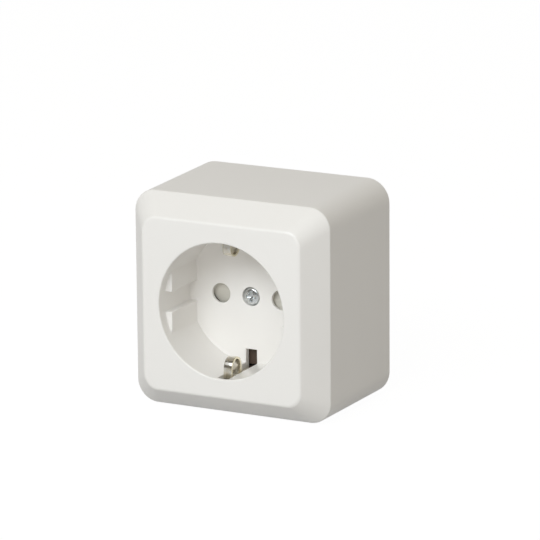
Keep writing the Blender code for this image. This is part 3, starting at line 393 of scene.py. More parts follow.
def flat_patch(outer, holes, depth):
    """A flat patch inside an outer loop and outside its holes, with a narrow strip along every edge.

    The loops of (x, z) run anticlockwise. The triangles are the constrained Delaunay triangulation of all
    loops, without those whose middle lies in a hole or outside the outer loop.
    """
    loops = [outer, outward_offset(outer, -EDGE_STRIP)]
    for hole in holes:
        loops += [hole, outward_offset(hole, EDGE_STRIP)]
    starts = np.cumsum([0] + [len(loop) for loop in loops])
    edges = np.concatenate([next_in_loop(start, len(loop)) for start, loop in zip(starts, loops)])
    cloud = [Vector(point) for point in np.concatenate(loops)]
    keep_all, tolerance = 0, 1e-7
    result = delaunay_2d_cdt(cloud, edges.tolist(), [], keep_all, tolerance)
    points = np.array([tuple(point) for point in result[0]])
    faces = np.array(result[2])
    middle = points[faces].mean(1)
    keep = inside(middle, outer)
    for hole in holes:
        keep &= ~inside(middle, hole)
    return place(points[:, 0], depth, points[:, 1]), faces[keep]


def circle(radius, segments, x=0.0):
    """Points (x + r cos t, r sin t), once round."""
    return radius * unit(full_turn(segments)) + (x, 0)


def revolved(profile, segments, x=0.0, z=0.0):
    """The profile of (radius, depth) points carried round an axis along Y through (x, z)."""
    profile = np.asarray(profile, float)
    return grid(around(profile[:, :1], profile[:, 1:], full_turn(segments), x, z))


def new_object(name, data):
    """A new object of the data in the scene, at the origin."""
    item = bpy.data.objects.new(name, data)
    bpy.context.scene.collection.objects.link(item)
    return item


def closed_mesh(name, points, faces):
    """A closed mesh in metres from points in millimetres: doubles merged and the faces outwards."""
    data = bpy.data.meshes.new(name)
    data.from_pydata(points * MM, [], faces)
    mesh = bmesh.new()
    mesh.from_mesh(data)
    bmesh.ops.remove_doubles(mesh, verts=mesh.verts, dist=MERGE_DISTANCE)
    bmesh.ops.dissolve_degenerate(mesh, edges=mesh.edges, dist=MERGE_DISTANCE / 10)
    bmesh.ops.recalc_face_normals(mesh, faces=mesh.faces)
    open_edges = sum(not edge.is_manifold for edge in mesh.edges)
    mesh.to_mesh(data)
    mesh.free()
    if open_edges:
        raise RuntimeError(f"{name} has {open_edges} open edges")
    return data


def weld(name, patches, material, replaced):
    """Joins patches into one closed smooth piece that takes the place of a CAD node of the socket."""
    starts = np.cumsum([0] + [len(points) for points, _ in patches])
    points = np.concatenate([points for points, _ in patches])
    faces = [face for start, (_, found) in zip(starts, patches) for face in (found + start).tolist()]
    data = closed_mesh(name, points, faces)
    data.shade_smooth()
    data.set_sharp_from_angle(angle=SHARP_ANGLE)
    data.materials.append(material)
    piece = new_object(name, data)
    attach(piece, "socket")
    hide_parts(replaced)
    return piece


# Cover


def well_quarter(s):
    """One quarter of the well from the groove's middle up: well directions, lower outline and its normals.

    The outline runs on the circle r = R, turns along the block's side z = groove / 2, turns along the chord
    x = c and meets the circle again. The direction spreads evenly over the block, so the front face of the
    block is ruled from the circle to the outline without a fold.
    """
    radius, chord, half = s.well_radius - s.well_inset, s.block_chord, s.groove / 2
    root_bend, corner_bend, end_bend = 0.5, 0.35, 1.2
    lead_in, lead_out, longest_step = 0.9, 1.6, 0.7
    bend_steps, groove_columns, outer_columns = 6, 7, 9
    root = np.array((math.sqrt(radius**2 - half**2), half))
    end = np.array((chord, math.sqrt(radius**2 - chord**2)))
    before = root - np.array((-root[1], root[0])) / radius * lead_in
    after = end + np.array((-end[1], end[0])) / radius * lead_out
    corners = (before, root, (chord, half), end, after)
    path, _ = rounded_path(corners, (root_bend, corner_bend, end_bend), bend_steps, support=0.1)
    path = path[1:-1]
    span = np.linalg.norm(np.diff(path, axis=0), axis=1)
    along = np.concatenate(([0], np.cumsum(span)))
    pieces = np.ceil(span / longest_step).astype(int)
    fine = [np.linspace(a, b, count, endpoint=False) for a, b, count in zip(along, along[1:], pieces)]
    fine = np.concatenate(fine + [along[-1:]])
    path = np.stack([np.interp(fine, along, values) for values in path.T], -1)
    first, last = np.arctan2(path[[0, -1], 1], path[[0, -1], 0])
    limit = math.atan2(s.height / 2 - s.chamfer_inset - s.face_corner, s.width / 2 - s.chamfer_inset)
    groove_turn = np.linspace(0, first, groove_columns)[:-1]
    block_turn = first + (last - first) * fine / along[-1]
    outer_turn = np.linspace(last, limit, outer_columns)[1:-1]
    outline = np.concatenate((radius * unit(groove_turn), path, radius * unit(outer_turn)))
    step = np.gradient(outline, axis=0)
    normal = np.stack((step[:, 1], -step[:, 0]), -1)
    normal[0] = (1, 0)
    normal /= np.linalg.norm(normal, axis=1)[:, None]
    return np.concatenate((groove_turn, block_turn, outer_turn)), outline, normal


def cover_columns(s):
    """Everything that the rings of the cover share, column by column, once round.

    A ring with half sizes a, b and corner radius r has x = cx (a - r) + nx r and z = cz (b - r) + nz r.
    On a straight side c runs from -1 to 1 with n fixed, and in a corner n turns with c fixed. A column on the
    edge of an earth slot or between its edges is near the slot.
    """
    slot_columns, web_columns, side_columns, corner_columns, web_step = 9, 6, 12, 19, 0.004
    a, b, r = s.width / 2 - s.chamfer_inset, s.height / 2 - s.chamfer_inset, s.face_corner
    radius, slot = s.well_radius - s.well_inset, s.slot_width / 2 + s.slot_edge
    quarter, outline, normal = well_quarter(s)
    mirror = np.array((1, -1))
    side = np.concatenate((-quarter[:0:-1], quarter))
    side_low = np.concatenate((outline[:0:-1] * mirror, outline))
    side_normal = np.concatenate((normal[:0:-1] * mirror, normal))
    slot_turn, last_turn = math.asin(slot / radius), math.atan2(a - r, b)
    web_turn = math.atan(s.web_width / 2 / (s.width / 2 + s.draft - s.wall_corner) * (a - r) / b)
    on_web = np.linspace(slot_turn, web_turn, web_columns)
    beside_web = np.linspace(web_turn + web_step, last_turn, side_columns)[:-1]
    over_slot = np.linspace(-slot_turn, slot_turn, slot_columns)[1:-1]
    lean = np.concatenate((on_web, beside_web))
    top = np.concatenate((-lean[::-1], over_slot, lean))
    sides = (
        (side, a / (b - r), side_low, side_normal),
        (top, b / (a - r), radius * unit(top), unit(top)),
    )
    columns = []
    for index, corner in enumerate(CORNERS):
        start = index * math.pi / 2
        cos_start, sin_start = round(math.cos(start)), round(math.sin(start))
        rotate = np.array(((cos_start, sin_start), (-sin_start, cos_start)))
        turn, slope, low, low_normal = sides[index % 2]
        n = np.broadcast_to((1.0, 0.0), low.shape)
        c = n + np.outer(slope * np.tan(turn), (0, 1))
        pairs = [pair @ rotate for pair in (c, n, low, low_normal)]
        columns.append(np.column_stack((*pairs, turn + start)))
        n = unit(quarter_arc(corner_columns) + start)
        c = np.broadcast_to(corner, n.shape)
        face_corner = c * (a - r, b - r) + n * r
        turn = np.arctan2(face_corner[:, 1], face_corner[:, 0])
        columns.append(np.column_stack((c, n, radius * unit(turn), unit(turn), turn)))
    data = np.concatenate(columns)
    across = np.abs(data[:, 4])
    near = (across < slot + SAME_PLACE) & (np.abs(data[:, 5]) > s.well_radius / 2)
    return SimpleNamespace(
        c=data[:, 0:2], n=data[:, 2:4], low=data[:, 4:6], normal=data[:, 6:8], direction=unit(data[:, 8]),
        near=near, on_edge=near & (across > slot - SAME_PLACE),
    )


def shell_rows(s, columns):
    """Rings from the flat face over the chamfer and the side to the wall and back inside to the face.

    Each ring has half sizes W/2 - i and H/2 - i, with the inset i, depth and corner radius from the profile.
    """
    face_run, inner_run, web_step, wall_place, bend_steps = 2.2, 1.0, 0.05, 3, 9
    slant = math.hypot(s.chamfer_inset, s.chamfer_depth)
    reach = s.chamfer_inset * s.chamfer_depth + s.face_wall * slant
    inner_face = (reach - s.chamfer_inset * s.face_wall) / s.chamfer_depth
    inner_side = (reach - s.chamfer_depth * s.side_wall) / s.chamfer_inset
    depth = -FRONT_Y
    web_depth = depth - s.web_height
    web_inset = s.side_wall - s.draft + s.web_height / (depth - inner_side) * s.draft
    wall_corner, face_corner = s.wall_corner - s.side_wall, s.face_corner - s.side_wall
    corners = np.array((
        (s.chamfer_inset + face_run, 0, s.face_corner),
        (s.chamfer_inset, 0, s.face_corner),
        (0, s.chamfer_depth, s.side_corner),
        (-s.draft, depth, s.wall_corner),
        (s.side_wall - s.draft, depth, wall_corner),
        (web_inset, web_depth + web_step, wall_corner),
        (web_inset, web_depth - web_step, wall_corner),
        (s.side_wall, inner_side, s.side_corner - s.side_wall),
        (inner_face, s.face_wall, face_corner),
        (inner_face + inner_run, s.face_wall, face_corner),
    ))
    radii = (s.face_edge, s.side_edge, s.wall_edge, s.wall_edge, 0, 0, s.inner_edge, s.inner_edge)
    path, where = rounded_path(corners[:, :2], radii, bend_steps, support=0.25)
    radius = np.interp(where, np.arange(len(corners)), corners[:, 2])[:, None]
    x = columns.c[:, 0] * (s.width / 2 - path[:, :1] - radius) + columns.n[:, 0] * radius
    z = columns.c[:, 1] * (s.height / 2 - path[:, :1] - radius) + columns.n[:, 1] * radius
    on_web = (np.abs(x) <= s.web_width / 2 + 10 * SAME_PLACE) & (np.abs(columns.n[:, 1]) == 1)
    on_web &= ((where > wall_place) & (path[:, 1] > web_depth))[:, None]
    z = np.where(on_web, np.sign(z) * np.maximum(np.abs(z), s.height / 2 - s.web_wall), z)
    return place(x, path[:, 1:], z)


def well_rows(s, columns):
    """Rings from the face over the rim, down the well's wall and its blocks to the floor.

    Above the blocks a ring is the circle R e. At the blocks it passes along the ledge at their depth to the
    lower outline L, rounded by an arc at each end: R e - c (1 - cos t) e and L + c (1 - cos t) n.
    Where there is no block the same rings fall evenly from R e to L. The fillet is L - f (1 - cos t) n.
    """
    e, low, normal = columns.direction, columns.low, columns.normal
    radius, rim, edge, fillet = s.well_radius, s.well_rim, s.block_edge, s.floor_fillet
    strip, rim_strip, fall, least_ledge, ledge_blend = 0.15, 0.1, 1.3, 0.08, 0.5
    ledge_shares, wall_rings = (0.06, 0.94), 5
    rings = [((radius + rim + strip) * e, 0.0)]
    for turn in quarter_arc(RIM_RINGS):
        rings.append(((radius + rim * (1 - math.sin(turn))) * e, rim * (1 - math.cos(turn))))
    rings.append((radius * e, rim + rim_strip))
    slot_row = len(rings)
    rings.append((radius * e, s.slot_depth - s.slot_edge))

    top, bottom = s.block_depth - fall, s.block_depth + fall
    inner, outer = (radius - edge) * e, low + edge * normal
    steps = [(radius * e, top)]
    for turn in quarter_arc(EDGE_RINGS):
        inset = edge * (1 - math.cos(turn))
        steps.append(((radius - inset) * e, s.block_depth - edge * (1 - math.sin(turn))))
    for share in ledge_shares:
        steps.append((inner + (outer - inner) * share, s.block_depth))
    for turn in quarter_arc(EDGE_RINGS):
        inset = edge * (1 - math.sin(turn))
        steps.append((low + inset * normal, s.block_depth + edge * (1 - math.cos(turn))))
    steps.append((low, bottom))
    weight = smooth_step((np.linalg.norm(radius * e - low, axis=1) - least_ledge) / ledge_blend)[:, None]
    for share, (points, depth) in zip(np.linspace(0, 1, len(steps)), steps):
        even = radius * e + (low - radius * e) * share
        even_depth = top + (bottom - top) * share
        rings.append((even + (points - even) * weight, (even_depth + (depth - even_depth) * weight)[:, 0]))

    for depth in np.linspace(bottom, s.well_depth - fillet - strip, wall_rings)[1:]:
        rings.append((low, depth))
    for turn in quarter_arc(FILLET_RINGS):
        inset = fillet * (1 - math.cos(turn))
        rings.append((low - inset * normal, s.well_depth - fillet * (1 - math.sin(turn))))

    flat = np.stack([points for points, _ in rings])
    depth = np.stack([np.broadcast_to(depth, len(e)) for _, depth in rings])
    x, z = flat[..., 0], flat[..., 1]
    reach = np.hypot(x, z)
    snap = (np.arange(len(rings)) >= slot_row)[:, None] & columns.near
    slot_x = e[:, 0] / np.abs(e[columns.on_edge, 0]).max() * (s.slot_width / 2 + s.slot_edge)
    x = np.where(snap, slot_x, x)
    z = np.where(snap, np.sign(z) * np.sqrt(reach**2 - x**2), z)
    return place(x, depth, z), slot_row


def slot_rim(s, columns, rows, slot_row, side):
    """The rounded edge of one earth slot and its walls, through to the back.

    Round the slot the surface is P + r sin t e + r (1 - cos t) m, with e into the slot and m into the wall;
    from there it is ruled to the matching loop on the back of the well. The loop of P runs along the slot's
    upper end, down one edge, along the inner end on the floor and up the other edge.
    """
    half, edge = s.slot_width / 2, s.slot_edge
    found = np.flatnonzero((np.sign(rows[0, :, 2]) == side) & columns.near)
    top = rows[slot_row, found]
    down, up = rows[slot_row + 1:, found[-1]], rows[slot_row + 1:, found[0]][::-1]
    end = place(top[::-1, 0], s.well_depth, side * (s.slot_inner - edge))
    loop = np.concatenate((top, down, end, up))
    wide, deep = len(top), len(down)
    floor, rise = wide + deep, wide + deep + wide

    turn = quarter_arc(FILLET_RINGS)
    bend = np.zeros((len(loop), 1))
    bend[floor - FILLET_RINGS: floor, 0] = turn
    bend[floor: rise] = math.pi / 2
    bend[rise: rise + FILLET_RINGS, 0] = turn[::-1]
    radial = loop * (1, 0, 1) / np.linalg.norm(loop[:, ::2], axis=1)[:, None]
    into_wall = radial * np.cos(bend) + np.sin(bend) * (0, 1, 0)
    into_slot = np.zeros_like(loop)
    sign = np.sign(top[-1, 0])
    into_slot[:wide, 1] = 1
    into_slot[wide - 1: floor + 1, 0] -= sign
    into_slot[floor: rise, 2] = side
    into_slot[rise - 1:, 0] += sign
    into_slot[0, 0] += sign
    turn = quarter_arc(SLOT_EDGE_RINGS)[:, None, None]
    rounding = loop + edge * (np.sin(turn) * into_slot + (1 - np.cos(turn)) * into_wall)

    outer, floor_back = s.well_radius + s.well_wall, s.well_depth + s.floor_wall
    x = loop[:, 0] * half / (half + edge)
    z = side * np.sqrt(outer**2 - x**2)
    z[floor: rise] = side * s.slot_inner
    fall = np.linspace(s.face_wall, floor_back, deep + 1)
    depth = np.concatenate((np.full(wide, s.face_wall), fall[1:], np.full(wide, floor_back), fall[:0:-1]))
    return grid(np.concatenate((rounding, place(x, depth, z)[None])))


def notched(ring, columns, x, z):
    """The (x, z) of a ring with the two slots cut in: it steps in at one edge, runs at z and steps out.

    A column on a slot's edge gives two points, its own and the one at the slot's inner end.
    """
    own = ring[:, ::2]
    end = np.stack((x, np.sign(own[:, 1]) * z), -1)
    entering = columns.on_edge & np.roll(columns.near, -1)
    first = np.where((columns.near & ~entering)[:, None], end, own)
    second = np.where(entering[:, None], end, own)
    return np.stack((first, second), 1)[np.stack((np.ones_like(entering), columns.on_edge), 1)]


def make_cover(s, material):
    """The whole cover as one closed skin: outside, well, holes, slots, boss and inside."""
    columns = cover_columns(s)
    shell = shell_rows(s, columns)
    well, slot_row = well_rows(s, columns)
    outer, floor_back = s.well_radius + s.well_wall, s.well_depth + s.floor_wall
    solid = ~(columns.near & np.roll(columns.near, -1))
    keep = (np.arange(len(well) - 1) < slot_row)[:, None] | solid
    patches = [grid(shell), grid(np.stack((well[0], shell[0]))), grid(well, keep)]
    patches += [slot_rim(s, columns, well, slot_row, side) for side in (1, -1)]

    slot_x = well[slot_row, :, 0]
    back_x = slot_x * s.slot_width / (s.slot_width + 2 * s.slot_edge)
    x, z = outer * columns.direction.T
    x = np.where(columns.near, back_x, x)
    z = np.where(columns.near, np.sign(z) * np.sqrt(outer**2 - x**2), z)
    depth = np.linspace(s.face_wall, floor_back, len(well) - slot_row)[:, None]
    tube = place(x, depth, z)
    keep = np.broadcast_to(solid, (len(tube) - 1, len(solid)))
    patches += [grid(tube, keep), grid(np.stack((shell[-1], tube[0])))]

    pin_x = s.pin_spacing / 2
    front = notched(well[-1], columns, slot_x, s.slot_inner - s.slot_edge)
    back = notched(tube[-1], columns, back_x, s.slot_inner)
    floors = (
        (front, s.pin_hole + s.pin_edge, s.recess_radius + s.pin_edge, s.well_depth),
        (back, s.pin_pocket, s.boss_radius, floor_back),
    )
    for ring, pin_radius, middle_radius, depth in floors:
        circles = ((pin_radius, -pin_x), (pin_radius, pin_x), (middle_radius, 0))
        holes = [circle(radius, HOLE_SEGMENTS, x) for radius, x in circles]
        patches.append(flat_patch(ring, holes, depth))

    turn = quarter_arc(HOLE_EDGE_RINGS)
    rounding = s.pin_edge * np.stack((1 - np.sin(turn), 1 - np.cos(turn)), -1)
    strip = 0.1
    start = s.well_depth + s.pin_edge + strip
    ledge, seat = s.well_depth + s.pin_wall, s.well_depth + s.recess_depth
    pin = ((s.pin_hole, start), (s.pin_hole, ledge), (s.pin_pocket, ledge), (s.pin_pocket, floor_back))
    recess = (
        (s.recess_radius, start), (s.recess_radius, seat), (s.shank_hole, seat),
        (s.shank_hole, s.boss_depth), (s.boss_radius, s.boss_depth), (s.boss_radius, floor_back),
    )
    for profile, x in ((pin, -pin_x), (pin, pin_x), (recess, 0)):
        edge = rounding + (profile[0][0], s.well_depth)
        patches.append(revolved(np.concatenate((edge, profile)), HOLE_SEGMENTS, x))
    return weld("moulded_cover", patches, material, "cover")


# Cover screw


def make_cover_screw(s, material):
    """One grid of rings: the domed head with its cross recess, the edge, the shank with its thread, the tip.

    With u and v the larger and smaller of |x| and |z|, the recess is D(u) S((w/2 - v)/t) S((l/2 - u)/t),
    where S is a smooth step and D falls off outwards. Four fine ticks lie between the arms of the cross.
    The thread adds 2 h |frac(y / p - a / 2 pi) - 1/2| to the core's radius at the angle a.
    """
    turn = full_turn(SCREW_SEGMENTS)
    cross, taper, rise, rise_power, margin, pit_rings = s.cross_length / 2, 0.16, 0.55, 1.5, 0.15, 58
    tick_half, tick_start, tick_end, tick_taper, tick_depth = 0.14, 0.45, 1.45, 0.1, 0.16
    flat_radius = s.head_radius - s.head_edge
    radius = np.append(np.linspace(0, cross + margin, pit_rings), flat_radius)[:, None]
    x, z = np.abs(radius * np.cos(turn)), np.abs(radius * np.sin(turn))
    large, small = np.maximum(x, z), np.minimum(x, z)
    pit = s.cross_depth * (1 - rise * np.clip(large / cross, 0, 1) ** rise_power)
    pit *= smooth_step((s.cross_width / 2 - small) / taper + 0.5) * smooth_step((cross - large) / taper)
    outward, aside = (large + small) / math.sqrt(2), (large - small) / math.sqrt(2)
    tick = smooth_step((tick_half - aside) / tick_taper) * smooth_step((tick_end - outward) / tick_taper)
    tick *= smooth_step((outward - tick_start) / tick_taper)
    pit = np.maximum(pit, tick_depth * tick)
    head = around(radius, s.head_front - s.dome * (1 - (radius / s.head_radius) ** 2) + pit, turn)

    bend = quarter_arc(HEAD_EDGE_RINGS)[1:, None]
    drop = s.dome * (1 - (flat_radius / s.head_radius) ** 2)
    edge_radius = flat_radius + s.head_edge * np.sin(bend)
    edge_depth = s.head_front - drop + (s.head_edge + drop) * (1 - np.cos(bend))
    core, bevel = s.shank_radius - s.thread, 0.1
    under = (
        (s.head_radius, s.head_back - bevel), (s.head_radius - bevel, s.head_back), (core, s.head_back),
    )
    edge = np.concatenate((np.hstack((edge_radius, edge_depth)), under))

    neck, point, point_step, point_share, rings_in_turn = 0.4, 1.0, 0.05, 0.6, 6
    start, end = s.head_back + neck, s.shank_end - point
    depth = np.linspace(start, end, round((end - start) / s.pitch * rings_in_turn))[:, None]
    phase = np.mod(depth / s.pitch - turn / math.tau, 1)
    fade = smooth_step((depth - start) / s.pitch) * smooth_step((end - depth) / s.pitch)
    shank = around(core + s.thread * fade * 2 * np.abs(phase - 0.5), depth, turn)
    tip = np.array(((core, end + point_step), (core * point_share, s.shank_end), (0, s.shank_end)))
    edge, tip = [around(profile[:, :1], profile[:, 1:], turn) for profile in (edge, tip)]
    surface = np.concatenate((head, edge, shank, tip))
    return weld("bright_cover_screw", [grid(surface)], material, "cover_screw")


# Earth strap


def strap_line(s):
    """The middle line (z, depth) of the strap, from the tail of the lower arch to the tail of the upper one.

    The upper half runs out along the bar, bends into the arm, bends back and ends in half an ellipse
    about the arch's middle: (shoulder + reach cos t, middle + rise sin t) for t from 270 to 90 degrees.
    """
    half = s.thickness / 2
    bar, side_step, tail_gaps, bar_places = s.bar_front + half, 0.02, (0.5, 0.3), (4.0, 9.0)
    bend_steps, arch_points = 10, 41
    front_leg, back_leg = s.arch_depth + half, s.arch_depth + s.arch_length - half
    corners = ((0, bar), (s.arm_offset, bar), (s.arm_offset, front_leg), (s.arch_shoulder, front_leg))
    legs, _ = rounded_path(corners, (s.arm_bend, s.arch_bend), bend_steps, support=0.05)
    reach, rise = s.arch_shoulder - s.arch_peak - half, (back_leg - front_leg) / 2
    turn = np.radians(np.linspace(270, 90, arch_points))[1:]
    arch = unit(turn) * (reach, rise) + (s.arch_shoulder, front_leg + rise)
    tail = [(s.arm_offset - half - gap, back_leg) for gap in tail_gaps]
    upper = np.concatenate((legs, arch, tail))

    stations = [*bar_places, s.taper_start, s.taper_end]
    for lug_side in (-s.lug_z - s.lug_width / 2, -s.lug_z + s.lug_width / 2):
        stations += [lug_side - side_step, lug_side + side_step]
    extra = np.array([(z, bar) for z in sorted(stations)])
    on_bar = upper[:, 1] > bar - SAME_PLACE
    beyond = on_bar & (upper[:, 0] > max(stations))
    upper = np.concatenate((upper[:1], extra, upper[beyond], upper[~on_bar]))
    return np.concatenate((upper[:0:-1] * (-1, 1), upper))


def make_earth_strap(s, material):
    """A rounded strip carried along its bent middle line, with a lug on one side and two holes.

    A point is M(q) + X x + N(q) y, with M the middle line in the plane X = 0, N its normal there and (x, y)
    on a rounded rectangle. On the lug the right half of the strip is wider.
    """
    half, edge, arm_half = s.thickness / 2, s.edge, s.arm_width / 2
    middle = strap_line(s)
    along = np.gradient(middle, axis=0)
    along /= np.linalg.norm(along, axis=1)[:, None]
    across = np.stack((-along[:, 1], along[:, 0]), -1)
    on_bar = middle[:, 1] > s.bar_front + half - SAME_PLACE
    width = np.interp(np.abs(middle[:, 0]), (s.taper_start, s.taper_end), (s.bar_width / 2, arm_half))
    width = np.where(on_bar, width, arm_half)
    on_lug = on_bar & (np.abs(middle[:, 0] - s.lug_z) < s.lug_width / 2)
    right = np.where(on_lug, s.lug_x + s.lug_reach, width)

    ring = []
    for index, (sign_x, sign_y) in enumerate(CORNERS):
        bend = edge * unit(quarter_arc(EDGE_RINGS) + index * math.pi / 2) + (0, sign_y * (half - edge))
        ring.append(np.column_stack((np.full(len(bend), sign_x), bend)))
    side, x, y = np.concatenate(ring).T
    x = x + side * (np.where(side > 0, right[:, None], width[:, None]) - edge)
    surface = place(x, middle[:, 1:] + across[:, 1:] * y, middle[:, :1] + across[:, :1] * y)
    ends = [np.broadcast_to(ring.mean(0), (1, *ring.shape)) for ring in (surface[0], surface[-1])]
    surface = np.concatenate((ends[0], surface, ends[1]))
    strap = weld("plated_earth_strap", [grid(surface)], material, "earth_strap")
    past = 2.0
    for x, z, radius in ((0, 0, s.screw_hole), (s.lug_x, s.lug_z, s.lug_hole)):
        bore_through(strap, x, z, radius, s.bar_front - past, s.bar_front + s.thickness + past)
    return strap


def bore_through(piece, x, z, radius, front, back):
    """Cuts a round hole along Y through a piece, which keeps its material and smooth shading."""
    profile = ((0, front), (radius, front), (radius, back), (0, back))
    points, faces = revolved(profile, BORE_SEGMENTS, x, z)
    drill = new_object("drill", closed_mesh("drill", points, faces.tolist()))
    modifier = piece.modifiers.new("bore", "BOOLEAN")
    modifier.operation = "DIFFERENCE"
    modifier.solver = "EXACT"
    modifier.object = drill
    graph = bpy.context.evaluated_depsgraph_get()
    cut = bpy.data.meshes.new_from_object(piece.evaluated_get(graph))
    piece.modifiers.remove(modifier)
    piece.data = cut
    cut.set_sharp_from_angle(angle=SHARP_ANGLE)
    bpy.data.objects.remove(drill)


# Finishes


def set_inputs(tree, node, inputs):
    """Sets each input of a node to a value, or links it where a socket is given."""
    for name, value in inputs.items():
        if isinstance(value, bpy.types.NodeSocket):
            tree.links.new(value, node.inputs[name])
        else:
            node.inputs[name].default_value = value


def add_node(tree, kind, inputs, **settings):
    """A node of a kind with its settings and inputs."""
    node = tree.nodes.new("ShaderNode" + kind)
    for name, value in settings.items():
        setattr(node, name, value)
    set_inputs(tree, node, inputs)
    return node


def new_material(name, base, roughness, metallic=0.0):
    """A Principled material and its node tree, shader and object coordinates."""
    material = bpy.data.materials.new(name)
    material.use_nodes = True
    tree = material.node_tree
    shader = tree.nodes["Principled BSDF"]
    set_inputs(tree, shader, {"Base Color": (*base, 1), "Roughness": roughness, "Metallic": metallic})
    return material, tree, shader, add_node(tree, "TexCoord", {}).outputs["Object"]


def noise(tree, vector, scale, detail=3.0, stretch=(1, 1, 1)):
    """A noise of a given scale in cells a metre, stretched along the axes."""
    mapping = add_node(tree, "Mapping", {"Scale": stretch, "Vector": vector})
    inputs = {"Scale": scale, "Detail": detail, "Vector": mapping.outputs["Vector"]}
    return add_node(tree, "TexNoise", inputs).outputs["Fac"]


def ramp(tree, factor, low=0.0, high=1.0, start=0.3, end=0.7):
    """The factor, about 0.3 to 0.7 in a noise, spread from start and end over low and high."""
    inputs = {"From Min": start, "From Max": end, "To Min": low, "To Max": high, "Value": factor}
    return add_node(tree, "MapRange", inputs).outputs["Result"]


def tint(tree, factor, first, second):
    """A colour between two colour sockets or colours, by the factor."""
    inputs = {"Factor": factor, "A": first, "B": second}
    return add_node(tree, "Mix", inputs, data_type="RGBA").outputs["Result"]


def bump(tree, height, share, distance):
    """Normals of a surface that the height raises by up to the distance in metres, by a share of it."""
    inputs = {"Strength": share, "Distance": distance, "Height": height}
    return add_node(tree, "Bump", inputs).outputs["Normal"]


def calculate(tree, operation, *values):
    """One step of arithmetic on values or sockets."""
    return add_node(tree, "Math", dict(enumerate(values)), operation=operation).outputs["Value"]


def one_axis(tree, vector, axis):
    """The X, Y or Z of a vector socket."""
    return add_node(tree, "SeparateXYZ", {"Vector": vector}).outputs[axis]


def shade(base, amount):
    """A colour made darker or lighter by the amount, kept between 0 and 1, with an alpha of 1."""
    return (*(max(0.0, min(1.0, channel * amount)) for channel in base[:3]), 1)


def moulded_plastic(name, base, roughness, grain, spread=0.005):
    """Moulded plastic: slight cloudiness in the colour, uneven gloss, and the fine grain of the mould."""
    material, tree, shader, where = new_material(name, base, roughness)
    uneven, grain_height = 0.015, 0.000006
    cloud = ramp(tree, noise(tree, where, scale=40, detail=1))
    gloss = noise(tree, where, scale=260, detail=3)
    sand = noise(tree, where, scale=4200, detail=2)
    set_inputs(tree, shader, {
        "IOR": 1.5,
        "Base Color": tint(tree, cloud, shade(base, 1 - spread), shade(base, 1 + spread / 2)),
        "Roughness": ramp(tree, gloss, roughness - uneven, roughness + uneven),
        "Normal": bump(tree, sand, grain, grain_height),
    })
    return material


def plated_metal(name, base, roughness, tarnish, stretch=(1, 1, 1), cut=None):
    """Plated strip or wire: rolled scratches along one axis, small stains and uneven gloss.

    The cut edges of a strip, which face along X, show the metal under the plating.
    """
    material, tree, shader, where = new_material(name, base, roughness, 1.0)
    smoother, rougher, scratch, scratch_depth = 0.04, 0.06, 0.12, 0.00002
    stain = ramp(tree, noise(tree, where, scale=700, detail=4))
    surface = tint(tree, stain, shade(base, 1.06), shade(tarnish, 1))
    if cut:
        facing = calculate(tree, "ABSOLUTE", one_axis(tree, where.node.outputs["Normal"], "X"))
        surface = tint(tree, ramp(tree, facing, start=0.5, end=0.85), surface, shade(cut, 1))
    streak = noise(tree, where, scale=3000, detail=3, stretch=stretch)
    set_inputs(tree, shader, {
        "Base Color": surface,
        "Roughness": ramp(tree, streak, roughness - smoother, roughness + rougher),
        "Normal": bump(tree, streak, scratch, scratch_depth),
    })
    return material


def finish(material, *nodes):
    """Puts a material on CAD nodes that are shown as they are."""
    for name in nodes:
        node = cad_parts[name]
        if not node.material_slots:
            node.data.materials.append(material)
        node.material_slots[0].material = material


# Stage


def aim(item, location, back, roll=0.0):
    """Places a camera or lamp so that its +Z axis is back and its picture is turned by roll."""
    side = Vector((0, 0, 1)).cross(back).normalized()
    up = back.cross(side)
    right = side * math.cos(roll) + up * math.sin(roll)
    up = up * math.cos(roll) - side * math.sin(roll)
    item.matrix_world = Matrix.Translation(location) @ Matrix((right, up, back)).transposed().to_4x4()


def direction_of(azimuth, elevation):
    """Unit vector to a place right of the front by azimuth and above by elevation."""
    flat = math.cos(elevation)
    return Vector((math.sin(azimuth) * flat, -math.cos(azimuth) * flat, math.sin(elevation)))


def white_to_camera(tree, plain, output, where, front, back, brightness, seen, mirrored):
    """Mixes a plain shader with a white glow: by seen for the camera and by mirrored for reflections.

    Reflections find the glow where the Y of where passes back, and less of it towards front, so that metal
    shows a white wall behind it and a dim room in front.
    """
    white = ramp(tree, one_axis(tree, where, "Y"), start=front, end=back)
    path = add_node(tree, "LightPath", {})
    present = calculate(tree, "MAXIMUM", path.outputs["Is Camera Ray"], white)
    glow = add_node(tree, "Emission", {"Color": (*(brightness,) * 3, 1), "Strength": present})
    shares = [
        calculate(tree, "MULTIPLY", path.outputs[ray], share)
        for ray, share in (("Is Camera Ray", seen), ("Is Glossy Ray", mirrored))
    ]
    inputs = {"Fac": calculate(tree, "MAXIMUM", *shares), 1: plain, 2: glow.outputs["Emission"]}
    tree.links.new(add_node(tree, "MixShader", inputs).outputs["Shader"], output)


def soft_light(name, s, power, tint_colour, width, azimuth, elevation):
    """A wide lamp in front of the socket that lights it and shows in its gloss, but not to the camera."""
    lamp = bpy.data.lights.new(name, "AREA")
    lamp.shape = "RECTANGLE"
    lamp.size = width * MM
    lamp.size_y = s.light_height * MM
    lamp.energy = power
    lamp.color = tint_colour
    light = new_object(name, lamp)
    light.visible_camera = False
    back = direction_of(azimuth, elevation)
    aim(light, back * s.light_distance * MM, back)
    return light


